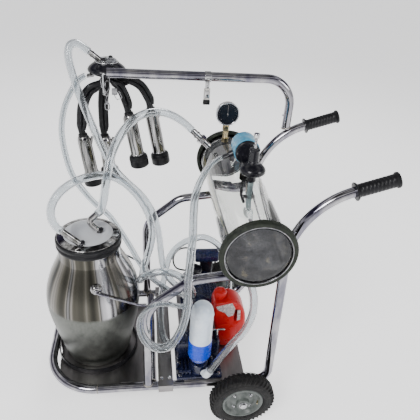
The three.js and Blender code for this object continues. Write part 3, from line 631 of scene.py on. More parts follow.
INLET_ROUTE = [(TANK["x"], PORT_Y, PORT_BOTTOM - 0.4), (TANK["x"], PORT_Y, PORT_BOTTOM - 15),
               (118, PORT_Y, 515), (126, -243, 468), (126, -241, 423), (111, -238, 360), (80, -234, 303),
               (50, -230, 240), (31.4, -225.8, 193.4), (24.2, -226.6, 181.4)]

free_hose("air_hose", AIR_ROUTE, 12, 3, ("frame", "lid"))
free_hose("milk_hose", MILK_ROUTE, 11.5, 3, ("frame", "lid"))
free_hose("pulse_hose", PULSE_ROUTE, 0, 1.9, ("frame",), twin=6.3)
free_hose("exhaust_hose", EXHAUST_ROUTE, 11, 2.6, ("frame",))
free_hose("inlet_hose", INLET_ROUTE, 11.5, 3, ("frame",))


def bolt(piece, centre, way, size=8, height=5, washer=True):
    """A hexagon head with chamfered corners, on its washer."""
    way = Vector(way).normalized()
    if washer:
        disc = rounded([(0, 0), (size * 0.95, 0), (size * 0.95, 1.2), (0, 1.2)], 0.4)
        piece.add(turned(disc, centre, way, 24), BRIGHT_STEEL)
    head = [(0, 1), (size * 0.62, 1), (size * 0.62, height - 0.8), (size * 0.5, height), (0, height)]
    piece.add(turned(head, centre, way, 6), BRIGHT_STEEL)


def weld_ring(piece, centre, way, radius, bead=2.2):
    """A rippled weld bead round a tube joint."""
    way = Vector(way).normalized()
    u = way.orthogonal().normalized()
    v = way.cross(u)
    path, sizes = [], []
    for k in range(49):
        a = 2 * math.pi * k / 48
        wobble = radius + 0.35 * math.sin(9 * a) + 0.2 * math.sin(23 * a)
        path.append(centre + (u * math.cos(a) + v * math.sin(a)) * mm(wobble))
        sizes.append(bead * (1 + 0.16 * math.sin(20 * a)))
    piece.add(sweep(path, sizes, 8), WELD)


# ---- frame ----------------------------------------------------------------------------------
RAIL_START_X = FRONT_X + FRONT_CORNER_R + 2
CROSS_END = RAIL_Y - TUBE_R
CROSS_X = -152
LEG_X = -165
LEG_END = (190, 573.9)
FOOT_X, FOOT_Y = -400, 105
STRIP = (-134, -88)
TRAY = (-54, 142)
TRAY_TUBE_X = 128


def cross_tube(x):
    """A straight tube from one rail to the other."""
    return rod(at(x, -CROSS_END, RAIL_Z), at(x, CROSS_END, RAIL_Z), TUBE_R, 28, chamfer=0.2)


def build_frame():
    loop = Piece("front_loop_steel")
    loop.add(sweep(bent([(RAIL_START_X, -RAIL_Y, RAIL_Z), (FRONT_X, -RAIL_Y, RAIL_Z, FRONT_CORNER_R),
                         (FRONT_X, RAIL_Y, RAIL_Z, FRONT_CORNER_R), (RAIL_START_X, RAIL_Y, RAIL_Z)], 20),
                   TUBE_R, 28), TUBE_STEEL)
    loop.done(nodes=["front_loop"])
    for side, sign in SIDES:
        y = sign * RAIL_Y
        rail = Piece(f"side_tube_{side}_steel")
        rail.add(sweep(bent([(RAIL_START_X, y, RAIL_Z), (UPRIGHT_X, y, RAIL_Z, 48),
                             (HANDLE_KNEE[0], y, HANDLE_KNEE[1], 207),
                             (HANDLE_END[0], y, HANDLE_END[1])], 20), TUBE_R, 28), TUBE_STEEL)
        weld_ring(rail, at(RAIL_START_X, y, RAIL_Z), (1, 0, 0), TUBE_R - 0.6, 1.5)
        rail.done(nodes=[f"side_tube_{side}"])
        leg = Piece(f"leg_{side}_steel")
        leg.add(sweep(bent([(LEG_X, y, RAIL_Z + 11), (LEG_X, y, 443, 96), (-51, y, 540, 84),
                            (LEG_END[0], y, LEG_END[1])], 20), TUBE_R, 28), TUBE_STEEL)
        saddle_top = TANK["z"] - TANK["r"] - 0.5
        leg.add(block((TANK["x"] - 9, y - 10, 566), (TANK["x"] + 9, y + 10, saddle_top), 1.5), TUBE_STEEL)
        leg.add(block((TANK["x"] - 26, y - 12, 579.2), (TANK["x"] + 26, y + 12, 580.9), 0.8), TUBE_STEEL)
        weld_ring(leg, at(LEG_X, y, RAIL_Z + TUBE_R + 0.5), (0, 0, 1), TUBE_R)
        weld_ring(leg, at(188, y, 573.6), (1, 0, 0.14), TUBE_R)
        leg.done(nodes=[f"leg_{side}"])
    cross = Piece("cross_front_steel")
    cross.add(cross_tube(CROSS_X), TUBE_STEEL)
    for sign in (-1, 1):
        weld_ring(cross, at(CROSS_X, sign * CROSS_END, RAIL_Z), (0, 1, 0), TUBE_R)
    cross.done(nodes=["cross_front"])
    foot = Piece("front_foot_steel")
    corners = [(FOOT_X, -FOOT_Y, FLOOR_Z), (FOOT_X, -FOOT_Y, 10, 22), (FOOT_X, FOOT_Y, 10, 22),
               (FOOT_X, FOOT_Y, FLOOR_Z)]
    foot.add(sweep(bent(corners), 10, 20), TUBE_STEEL)
    foot.done(nodes=["front_foot"])


def build_trays():
    strip = Piece("channel_strip_steel")
    front, back = STRIP
    strip.add(block((front, -RAIL_Y - 17, TRAY_Z), (back, RAIL_Y + 17, TRAY_Z + 2), 0.8), TRAY_STEEL)
    for sign in (-1, 1):
        low, high = sorted((sign * (RAIL_Y + 15), sign * (RAIL_Y + 17)))
        strip.add(block((front, low, RAIL_Z - 12), (back, high, TRAY_Z + 1), 0.8), TRAY_STEEL)
        for x in (front + 10, back - 10):
            bolt(strip, at(x, sign * 204, TRAY_Z + 2), (0, 0, 1), 6, 4)
    strip.done(nodes=["channel_strip"])
    tray = Piece("pump_tray_steel")
    front, back = TRAY
    tray.add(block((front, -RAIL_Y - 8, TRAY_Z), (back, RAIL_Y + 8, TRAY_Z + 2), 0.8), TRAY_STEEL)
    tray.add(block((front, -RAIL_Y + 16, TRAY_Z - 14), (front + 2.2, RAIL_Y - 16, TRAY_Z + 1), 0.8),
             TRAY_STEEL)
    tray.add(cross_tube(TRAY_TUBE_X), TUBE_STEEL)
    tray.add(block((TRAY_TUBE_X - 4, -CROSS_END + 10, RAIL_Z + 10),
                   (TRAY_TUBE_X + 4, CROSS_END - 10, TRAY_Z + 1), 0.5), TRAY_STEEL)
    for sign in (-1, 1):
        weld_ring(tray, at(TRAY_TUBE_X, sign * CROSS_END, RAIL_Z), (0, 1, 0), TUBE_R)
        for x in (-40, 44):
            bolt(tray, at(x, sign * 208, TRAY_Z + 2), (0, 0, 1), 6, 4)
    tray.done(nodes=["pump_tray"])


def build_bucket_floor():
    front, back, half, corner = FRONT_X + 17, -168, RAIL_Y - 16, 134
    outline = [(back, -half), (back, half)]
    for k in range(13):
        a = math.pi / 2 + math.pi / 2 * k / 12
        outline.append((front + corner + corner * math.cos(a), half - corner + corner * math.sin(a)))
    for k in range(13):
        a = math.pi + math.pi / 2 * k / 12
        outline.append((front + corner + corner * math.cos(a), corner - half + corner * math.sin(a)))
    bm = bmesh.new()
    face = bm.faces.new([bm.verts.new(at(x, y, FLOOR_Z)) for x, y in outline])
    out = bmesh.ops.extrude_face_region(bm, geom=[face])
    bmesh.ops.translate(bm, verts=[g for g in out["geom"] if isinstance(g, bmesh.types.BMVert)],
                        vec=Vector((0, 0, mm(2))))
    bmesh.ops.recalc_face_normals(bm, faces=bm.faces[:])
    floor = Piece("bucket_floor_steel")
    floor.add(taken(bm), TRAY_STEEL)
    ring = rounded([(128, 1), (132, 1), (132, 22), (128, 22), (128, 1)], 0.8)
    floor.add(turned(ring, at(BUCKET["x"], BUCKET["y"], FLOOR_Z), segments=72), RUBBER)
    top = RAIL_Z + 6
    for low, high in [((front - 2.4, -16, FLOOR_Z), (front + 0.4, 16, top)),
                      ((-250, -half - 2.2, FLOOR_Z), (-218, -half + 0.8, top)),
                      ((-250, half - 0.8, FLOOR_Z), (-218, half + 2.2, top))]:
        floor.add(block(low, high, 0.7), TRAY_STEEL)
    floor.done(nodes=["bucket_floor"])


# ---- wheels and grips -----------------------------------------------------------------------
def build_wheels():
    inner = WHEEL["outer"] - WHEEL["width"]
    outer = WHEEL["outer"]
    for side, sign in SIDES:
        centre = at(WHEEL["x"], 0, WHEEL["z"])
        along = (0, sign, 0)
        body = f"wheel_{side}"

        axle = Piece(f"axle_{side}_steel")
        axle.add(turned(rounded([(0, RAIL_Y + 12), (12, RAIL_Y + 12), (12, inner - 1), (8, inner - 1),
                                 (8, outer + 0.4), (13, outer + 0.4), (13, outer + 1.8), (8, outer + 1.8),
                                 (0, outer + 1.8)], 0.6), centre, along, 28), BRIGHT_STEEL)
        axle.add(turned([(0, outer + 1.8), (10.5, outer + 1.8), (10.5, outer + 6.6), (9, outer + 7.6),
                         (0, outer + 7.8)], centre, along, 6), BRIGHT_STEEL)
        axle.done(nodes=[f"axle_{side}"])

        hub = Piece(f"hub_{side}_paint")
        r = WHEEL["hub"]
        hub.add(turned(rounded([(8.2, inner + 2), (19, inner + 2), (20, inner + 20), (40, inner + 24),
                                (51, inner + 18), (54, inner + 6), (r, inner + 5), (r, outer - 5),
                                (58, outer - 4), (54, outer - 9), (50, outer - 17), (40, outer - 20),
                                (27, outer - 15), (21, outer - 12), (20, outer), (8.2, outer),
                                (8.2, inner + 2)], 2),
                       centre, along, 72), WHEEL_PAINT)
        for a in around(4, math.pi / 4):
            bolt(hub, round_y(centre, 34, a, sign * (outer - 18.4)), along, 6.5, 5)
        valve = centre + Vector((mm(49), sign * mm(outer - 14), 0))
        hub.add(rod(valve, valve + Vector((-mm(5), sign * mm(12), 0)), 2.4, 12), BRASS)
        hub.done(body, nodes=[f"hub_{side}"])

        tyre = Piece(f"tyre_{side}_rubber")
        tyre.add(turned(rounded([(r + 0.2, inner + 6), (70, inner + 2.6), (78, inner + 2), (90, inner + 4),
                                 (97, inner + 9), (99.2, inner + 16), (99.8, (inner + outer) / 2),
                                 (99.2, outer - 16), (97, outer - 9), (90, outer - 4), (78, outer - 2),
                                 (70, outer - 2.6), (r + 0.2, outer - 6), (r + 0.2, inner + 6)], 3),
                        centre, along, 96), TYRE)
        for radius in (72, 84):
            for edge, out in ((outer - 2.3, 1), (inner + 2.3, -1)):
                rib = [(radius - 1.6, edge - 0.4 * out), (radius, edge + 0.5 * out),
                       (radius + 1.6, edge - 0.4 * out)]
                tyre.add(turned(rib if out > 0 else rib[::-1], centre, along, 96), TYRE)
        tread(tyre, centre, sign, inner, outer)
        tyre.done(body, nodes=[f"tyre_{side}"])


def tread(piece, centre, sign, inner, outer):
    """Chevron lugs round the tyre and down its shoulders."""
    middle = (inner + outer) / 2
    for base in around(42):
        for half in (-1, 1):
            stations = [(1.0, 0.0, 102.0), (9.0, 0.045, 102.0), (17.0, 0.095, 101.2), (22.6, 0.13, 95.0)]
            points, faces = [], []
            for offset, lag, top in stations:
                for turn, r in ((-0.034, top - 3.5), (-0.027, top), (0.027, top), (0.034, top - 3.5)):
                    points.append(round_y(centre, r, base + lag + turn, sign * (middle + half * offset)))
            for s in range(len(stations) - 1):
                for j in range(3):
                    p = s * 4 + j
                    quad = [p, p + 1, p + 5, p + 4]
                    faces.append(quad if half * sign > 0 else quad[::-1])
            faces.append([0, 1, 2, 3][:: -1 if half * sign > 0 else 1])
            end = len(points) - 4
            faces.append([end, end + 1, end + 2, end + 3][:: 1 if half * sign > 0 else -1])
            piece.add((points, faces), TYRE)


def build_grips():
    way = Vector((math.cos(SLOPE), 0, math.sin(SLOPE)))
    for side, sign in SIDES:
        end = at(HANDLE_END[0], sign * RAIL_Y, HANDLE_END[1])
        start = end - way * mm(107.6)
        profile = [(13.7, 0.4), (23.6, 0.4), (23.9, 3), (22, 6), (17.4, 8)]
        for k in range(9):
            low = 14 + k * 9.6
            profile += [(17.3, low), (16.4, low + 1.2), (16.4, low + 2.2), (17.3, low + 3.4)]
        profile += [(17.4, 102), (20.6, 105), (20.9, 108), (19.5, 111.6), (6, 111.9), (5.5, 109), (0, 109)]
        grip = Piece(f"grip_{side}_plastic")
        grip.add(turned(profile, start, way, 48), GRIP)
        grip.done(nodes=[f"grip_{side}"])


# ---- hanger arm -----------------------------------------------------------------------------
def handle_at(x):
    """The height of a handle's middle at one x."""
    return HANDLE_KNEE[1] + (x - HANDLE_KNEE[0]) * math.tan(SLOPE)


def build_arm():
    foot = handle_at(ARM_POST_X) + TUBE_R / math.cos(SLOPE)
    top = SOCKET_TOP
    screw_z = top - 18
    arm = Piece("hanger_arm_steel")
    path = bent([(ARM_POST_X, RAIL_Y, top + 0.4), (ARM_POST_X, RAIL_Y, ARM_Z, ARM_CORNER_R),
                 (ARM_END_X, RAIL_Y, ARM_Z)], 24)
    arm.add(sweep(path, TUBE_R, 32, TUBE_R - 1.5), TUBE_STEEL)
    arm.add(rod(at(ARM_POST_X, RAIL_Y, foot + 5), at(ARM_POST_X, RAIL_Y, top + 3), SPIGOT_R, 24), TUBE_STEEL)
    arm.done(nodes=["hanger_arm"])
    socket = Piece("arm_socket_steel")
    socket.add(sweep([at(ARM_POST_X, RAIL_Y, foot - 3), at(ARM_POST_X, RAIL_Y, top)], 13.5, 32, 11.1),
               TUBE_STEEL)
    weld_ring(socket, at(ARM_POST_X, RAIL_Y, foot + 0.6), (-math.sin(SLOPE), 0, math.cos(SLOPE)), 13.3, 2.0)
    nut = [(7, 0), (7, 3.5), (4.4, 3.5), (4.4, 0), (7, 0)]
    socket.add(turned(nut, at(ARM_POST_X, RAIL_Y + 12.6, screw_z), (0, 1, 0), 6), BRIGHT_STEEL)
    socket.done(nodes=["arm_socket"])
    screw = Piece("arm_screw_steel")
    behind = [at(ARM_POST_X, RAIL_Y + distance, screw_z) for distance in (11.3, 13, 24, 26, 33)]
    screw.add(rod(behind[0], behind[3], 3.4, 18), BRIGHT_STEEL)
    screw.add(helix(behind[1], (0, 1, 0), 3.5, 0.5, 1.3, 8), BRIGHT_STEEL)
    screw.add(rod(behind[2], behind[4], 5, 20), BRIGHT_STEEL)
    for way in (-1, 1):
        low, high = sorted((0, way * 9))
        screw.add(block((ARM_POST_X + low, RAIL_Y + 25.5, screw_z - 2.4),
                        (ARM_POST_X + high, RAIL_Y + 31, screw_z + 2.4), 1.1), BRIGHT_STEEL)
    screw.done("arm_screw", nodes=["arm_screw"])


def build_strap():
    """A sprung steel strap hooked over the arm, with a rubber tip."""
    strap = Piece("strap_clip_steel")
    x, y = 21.0, RAIL_Y
    hoop = rounded([(13.8, -9.3), (15.3, -9.3), (15.3, 9.3), (13.8, 9.3), (13.8, -9.3)], 0.4)
    strap.add(turned(hoop, at(x, y, ARM_Z), (1, 0, 0), 40), BRIGHT_STEEL)
    strap.add(block((x - 6.5, y - 1.8, ARM_Z - 44), (x + 6.5, y + 0.6, ARM_Z - 14.6), 0.8), BRIGHT_STEEL)
    strap.add(block((x - 9.4, y - 2.6, ARM_Z - 70), (x + 9.4, y + 1.2, ARM_Z - 34), 1.4, 3), STRAP)
    strap.add(block((x - 6.4, y - 3.4, ARM_Z - 64), (x + 6.4, y - 1.4, ARM_Z - 40), 1.0), BRIGHT_STEEL)
    strap.add(block((x - 10.8, y - 4.8, ARM_Z - 83.8), (x + 10.8, y + 2.8, ARM_Z - 68.4), 2.4, 3), RUBBER)
    bolt(strap, at(x, y - 2.4, ARM_Z - 28), (0, -1, 0), 4, 2.4, washer=False)
    strap.done("strap", nodes=["strap_clip"])


# ---- milking cluster ------------------------------------------------------------------------
TEATCUPS = [
    dict(top=(-359, 262, 752), bottom=(-333, 246, 576),
         tube=[(-294, 276, 905), (-331, 265, 888), (-353, 265, 842), (-361, 264, 787)]),
    dict(top=(-296, 306, 733), bottom=(-282, 300, 573),
         tube=[(-281, 313, 905), (-291, 313, 876), (-297, 311, 832), (-298, 308, 778)]),
    dict(top=(-215, 268, 822), bottom=(-181, 261, 638),
         tube=[(-256, 280, 907), (-242, 270, 900), (-230, 266, 880), (-221, 268, 852)]),
    dict(top=(-147, 300, 828), bottom=(-110, 291, 634),
         tube=[(-247, 304, 907), (-214, 301, 911), (-178, 302, 894), (-157, 302, 862)]),
]


def build_teatcups():
    for index, cup in enumerate(TEATCUPS, 1):
        base, top = at(*cup["bottom"]), at(*cup["top"])
        way = (top - base).normalized()
        length = (top - base).length * 1000
        piece = Piece(f"teatcup_{index}_shell")
        head = [(0, 42), (10.6, 42), (10.9, 6), (11.6, 0.6), (14, 0.2), (20, 2.6), (27, 4.6), (30.2, 7.4),
                (30.7, 14), (30.4, 34), (29.4, 40.4), (25.4, 44.2), (22.6, 46.4)]
        piece.add(turned(rounded(head, 1.6), base, way, 56), RUBBER)
        piece.add(turned([(30.2, 29), (31.0, 30), (31.0, 31.6), (30.2, 32.6)], base, way, 56), RUBBER)
        shell = [(22.3, 46), (22.6, 48.4), (21.6, 49.8), (21.2, 56), (21.2, length - 28),
                 (20.4, length - 19), (17.6, length - 12), (15.0, length - 8), (13.4, length - 7.4),
                 (11.5, length - 7.4)]
        piece.add(turned(rounded(shell, 1.2), base, way, 56), SHELL_STEEL)
        neck = [(14.4, length - 8.6), (14.4, length - 3), (12.6, length - 0.6), (9, length - 0.2),
                (0, length - 0.2)]
        piece.add(turned(rounded(neck, 0.8), base, way, 40), RUBBER)
        side = Vector((1, 0, 0))
        nipple = base + way * mm(length - 34) + side * mm(19)
        piece.add(rod(nipple, nipple + (side * 0.35 + way).normalized() * mm(24), 4.2, 14), SHELL_STEEL)
        piece.done(nodes=[f"teatcup_{index}"])

        upper = Vector(cup["top"])
        along = (upper - Vector(cup["bottom"])).normalized()
        route = cup["tube"] + [tuple(upper + along * 22), tuple(upper + along * 0.3)]
        path = smooth_route(route, 4)
        tubes = Piece(f"cup_tubes_{index}_rubber")
        last = len(path) - 1
        milk, pulse = [], []
        for i, point in enumerate(path):
            ahead = path[min(i + 1, last)] - path[max(i - 1, 0)]
            across = ahead.cross(Vector((0.15, 1, 0.3))).normalized()
            if across.x < 0:
                across = -across
            share = min(1.0, i / 5, (last - i) / 7)
            milk.append(point + across * mm(-3.4 * share))
            pulse.append(point + across * mm(4 + 8.6 * share) + Vector((0, mm(-3.0 * share), 0)))
        widths = [9.6 + 1.2 * max(0.0, 1 - i / 4, 1 - (last - i) / 4) for i in range(last + 1)]
        tubes.add(sweep(milk, widths, 20), RUBBER)
        tubes.add(sweep(pulse[:-3], 6.6, 16), RUBBER)
        tubes.done(nodes=[f"cup_tubes_{index}"])


def build_claw():
    x, y, z = CLAW["x"], CLAW["y"], CLAW["z"]
    claw = Piece("claw_body")
    flange = [(0, 0.4), (24, 0.4), (30, 6), (40, 8.6), (50, 12), (56.8, 17.4), (57.3, 20.6), (56.4, 24.6),
              (52.4, 30), (46, 35.4), (40, 39.4), (37, 41.4), (36.6, 43.6), (0, 43.6)]
    claw.add(turned(rounded(flange, 2), at(x, y, z), segments=72), BLACK)
    band = [(26, 43.2), (33.2, 43.4), (34, 44.4), (34, 46.4), (32.8, 47.6), (26, 47.6)]
    claw.add(turned(rounded(band, 0.8), at(x, y, z), segments=56), BRIGHT_STEEL)
    bowl = [(28.4, 47.4), (29.6, 48.4), (29.2, 50.6), (26, 53), (20, 54.8), (12, 55.8), (0, 56.2)]
    claw.add(turned(rounded(bowl, 1.2), at(x, y, z), segments=56), DOME)
    claw.add(turned([(0, 47.8), (25, 47.8), (23, 50), (0, 51.2)], at(x, y, z), segments=40), CHAIN)
    knob = rounded([(0, 0), (5.4, 0), (6.8, 2), (6.4, 7.6), (3.6, 9.6), (0, 10)], 1.2)
    for dx, dy in ((-19, -12), (-5, -21), (12, 10)):
        claw.add(turned(knob, at(x + dx, y + dy, z + 50), segments=20), BLACK)
    start = at(x - 10, y - 12, z + 45)
    end = at(CLAW_OUTLET[0] + 0.5, CLAW_OUTLET[1] + 0.2, CLAW_OUTLET[2] - 0.5)
    claw.add(rod(start, end, 8.2, 28), SHELL_STEEL)
    middle = start.lerp(end, 0.78)
    claw.add(rod(middle - (end - start) * 0.06, middle + (end - start) * 0.04, 9.4, 28), SHELL_STEEL)
    for cup in TEATCUPS:
        tip = at(*cup["tube"][0])
        way = (at(*cup["tube"][1]) - tip).normalized()
        claw.add(rod(at(x, y, z + 6).lerp(tip, 0.4), tip + way * mm(2), 9.4, 24), BLACK)
    for side in (-1, 1):
        nipple = at(-333, 276 + side * 6.3, 925.6)
        claw.add(rod(at(-312, 280 + side * 6.3, 929), nipple, 4.4, 16), SHELL_STEEL)
    claw.done(nodes=["claw"])

    hook = Piece("claw_hook_wire")
    hook.add(sweep(bent([(ARM_END_X - 4, RAIL_Y, ARM_Z - 4), (ARM_END_X - 12, RAIL_Y, ARM_Z - 4, 5),
                         (ARM_END_X - 12, RAIL_Y, ARM_Z - 66, 12), (ARM_END_X - 14, y, ARM_Z - 66, 8),
                         (ARM_END_X - 14, y, z - 0.4)], 8), 2.6, 16), BRIGHT_STEEL)
    hook.done(nodes=["claw_hook"])
    hanging_clip()


def hanging_clip():
    """The bent wire at the arm's open end, its chain and snap clip, and the small bracket beside it."""
    piece = Piece("arm_clip_chain")
    x, y, z = ARM_END_X + 3, RAIL_Y - 3, ARM_Z - TUBE_R
    piece.add(sweep(bent([(x + 4, y, z + 3), (x + 3, y, z - 26, 6), (x - 6, y, z - 44, 4),
                          (x - 20, y, z - 26, 6), (x - 22, y, z - 2)], 6), 1.1, 10), CHAIN)
    for k in range(3):
        centre = at(x - 7, y, z - 48 - k * 8)
        turn = (1, 0, 0) if k % 2 else (0, 1, 0)
        ring = [(3.8 + 1.1 * math.cos(math.pi * i / 4), 1.1 * math.sin(math.pi * i / 4)) for i in range(9)]
        piece.add(turned(ring, centre, turn, 20), CHAIN)
    clip = [(x - 7, y, z - 70), (x - 13, y, z - 76, 5), (x - 13, y, z - 94, 6), (x - 1, y, z - 94, 6),
            (x - 1, y, z - 76, 5), (x - 7, y, z - 69)]
    piece.add(sweep(bent(clip, 6), 1.7, 12), CHAIN)
    piece.add(block((x - 11, y - 2.6, z - 78), (x - 3, y + 2.6, z - 66), 1.4), CHAIN)
    piece.add(block((x + 8, y + 2, z - 50), (x + 24, y + 5, z - 30), 1.4), CHAIN)
    piece.add(sweep(bent([(x + 12, y + 3, z - 44), (x + 22, y + 3, z - 64, 4), (x + 38, y + 3, z - 58, 4),
                          (x + 28, y + 3, z - 38)], 6), 1.2, 10), CHAIN)
    piece.done()


# ---- vacuum tank and its fittings -----------------------------------------------------------
def build_tank():
    centre = at(TANK["x"], 0, TANK["z"])
    r, half, wall = TANK["r"], TANK["half"], TANK["wall"]
    tube = Piece("tank_tube_clear")
    shell = rounded([(r - wall, -half), (r, -half), (r, half), (r - wall, half), (r - wall, -half)], 0.8)
    tube.add(turned(shell, centre, (0, 1, 0), 96), ACRYLIC)
    port_top = at(TANK["x"], PORT_Y, TANK["z"] - r + 3)
    tube.add(rod(port_top, at(TANK["x"], PORT_Y, PORT_BOTTOM), 6.6, 20), BRIGHT_STEEL)
    tube.done(nodes=["tank_tube"])
    for side, sign in SIDES:
        way = (0, sign, 0)
        end = Piece(f"tank_end_{side}_disc")
        disc = [(0, half + 0.4), (81, half + 0.4), (82.8, half + 2), (82.8, 279.6), (80, 281.4), (70, 282.8),
                (30, 284), (0, 284.6)]
        end.add(turned(rounded(disc, 1.2), centre, way, 96), SMOKY)
        end.done(nodes=[f"tank_end_{side}"])
        ring = Piece(f"tank_ring_{side}_rubber")
        inner = 91.5 if side == "far" else 87.4
        start = half + 7.4
        profile = [(inner, start), (95.5, start), (97.6, start + 1.4)]
        for k in range(3):
            low = 269 + k * 4.4
            profile += [(98.2, low), (99.8, low + 1), (99.8, low + 2.8), (98.2, low + 3.9)]
        profile += [(98.4, 283), (96.6, 285.4), (93.5, 285.9), (inner + 0.6, 285.9), (inner, 285)]
        ring.add(turned(rounded(profile, 0.6), centre, way, 96), RING)
        for a in around(60):
            foot = round_y(centre, 98.6, a, sign * 268.6)
            ring.add(rod(foot, foot + Vector((0, sign * mm(14), 0)), 1.2, 6), RING)
        bezel = [(inner, 285), (inner - 1, 285.6), (inner - 2.4, 285.2), (84.4, 283.6), (83.8, 282),
                 (83.8, start)]
        ring.add(turned(rounded(bezel, 0.5), centre, way, 96), CHAIN)
        ring.done(nodes=[f"tank_ring_{side}"])

    build_tank_inside(centre)

    nozzle = Piece("tank_nozzle_steel")
    root, tip = at(43, 222.2, 727), at(-16.8, 225, 782.8)
    nozzle.add(rod(root.lerp(tip, 0.13), tip, 10.4, 32), SHELL_STEEL)
    nozzle.add(rod(root.lerp(tip, 0.08), root.lerp(tip, 0.2), 10.9, 32), BRIGHT_STEEL)
    nozzle.add(rod(root.lerp(tip, 0.40), root.lerp(tip, 0.57), 16.6, 6), BRIGHT_STEEL)
    nozzle.add(rod(root.lerp(tip, 0.72), root.lerp(tip, 0.78), 12.6, 32), BRIGHT_STEEL)
    nozzle.done(nodes=["tank_nozzle"])


def curved_strip(centre, radius, start, stop, y0, y1, thick=1.2, steps=10):
    """A strip on the inside of the tank's wall between two angles, in degrees from +X."""
    points, faces = [], []
    for r in (radius, radius - thick):
        for y in (y0, y1):
            for k in range(steps + 1):
                a = math.radians(start + (stop - start) * k / steps)
                points.append(round_y(centre, r, a, y))
    row = steps + 1
    for k in range(steps):
        faces.append([k, k + 1, row + k + 1, row + k])
        faces.append([2 * row + k + 1, 2 * row + k, 3 * row + k, 3 * row + k + 1])
        faces.append([k + 1, k, 2 * row + k, 2 * row + k + 1])
        faces.append([row + k, row + k + 1, 3 * row + k + 1, 3 * row + k])
    faces.append([0, row, 3 * row, 2 * row])
    faces.append([row + steps, steps, 2 * row + steps, 3 * row + steps])
    return points, faces


def build_tank_inside(centre):
    """Tie rods, the float valve's stem and cup, and the cream lining strip seen through the tank."""
    inside = Piece("tank_inside_parts")
    inside.add(curved_strip(centre, 76.6, 165, 208, -252, 250), CREAM)
    inside.add(curved_strip(centre, 76.2, 159, 164, -252, 250), RUBBER)
    for angle in (24, 8, -26):
        spot = round_y(centre, 72, math.radians(angle))
        inside.add(rod(spot + Vector((0, mm(-257), 0)), spot + Vector((0, mm(257), 0)), 3.4, 14), TUBE_STEEL)
    x, y = REG
    inside.add(rod(at(x, y, 739), at(x, y, 662), 7.4, 24), TEAL)
    inside.add(helix(at(x, y, 668), (0, 0, 1), 7.4, 0.7, 3.2, 18), TEAL)
    inside.add(block((x - 17, y - 5, 694), (x + 17, y + 5, 701), 2), TRAY_STEEL)
    inside.add(rod(at(x, y, 664), at(x, y, 650), 15, 32), PALE)
    inside.add(rod(at(x, 34, 738), at(x, 34, 706), 15, 28), BLACK)
    inside.add(sweep(bent([(x, 34, 712), (x - 6, 28, 690, 10), (x - 12, 2, 676, 12), (x - 12, -30, 676)], 6),
                     4.6, 14), BLACK)
    inside.done()


GAUGE = (90.0, 225.0, 842.0)


def build_gauge():
    x, y, z = GAUGE
    centre = at(x, y, z)
    front = (0, -1, 0)
    gauge = Piece("gauge_case")
    case = [(0, -12.6), (28, -12.6), (34, -9), (36, -4), (36, 8), (36.8, 9), (36.8, 12), (34.6, 12.8),
            (32.6, 11.6), (32.2, 8.2)]
    gauge.add(turned(rounded(case, 1.2), centre, front, 64), BRIGHT_STEEL)
    gauge.add(turned([(32.4, 8.2), (0, 8.2)], centre, front, 64), BLACK)
    ticks = 21
    for k in range(ticks):
        a = math.radians(225 - 270 * k / (ticks - 1))
        long_mark = k % 5 == 0
        inner = round_y(centre, 24 if long_mark else 26, a, -8.4)
        outer = round_y(centre, 28, a, -8.4)
        gauge.add(rod(inner, outer, 0.4 if long_mark else 0.25, 4), TRAY_STEEL)
    stem_low = at(x, y, 747)
    gauge.add(rod(stem_low, at(x, y, z - 34), 7.6, 24), BRASS)
    gauge.add(rod(at(x, y, z - 56), at(x, y, z - 40), 11.4, 6), BRASS)
    gauge.add(rod(stem_low, at(x, y, 762), 11.6, 6), BRASS)
    gauge.add(helix(at(x, y, 764), (0, 0, 1), 7.6, 0.7, 2.0, 10), BRASS)
    gauge.done(nodes=["gauge"])
    needle = Piece("gauge_needle_pointer")
    needle.add(block((x - 0.5, y - 11.0, z - 7), (x + 0.5, y - 10.2, z + 24), 0.2), TRAY_STEEL)
    needle.add(turned(rounded([(0, 9), (2.4, 9), (2.4, 11.2), (0, 11.8)], 0.5), centre, front, 24), CHAIN)
    needle.done("needle", nodes=["gauge_needle"])


PULSATOR = (124.0, 794.0)


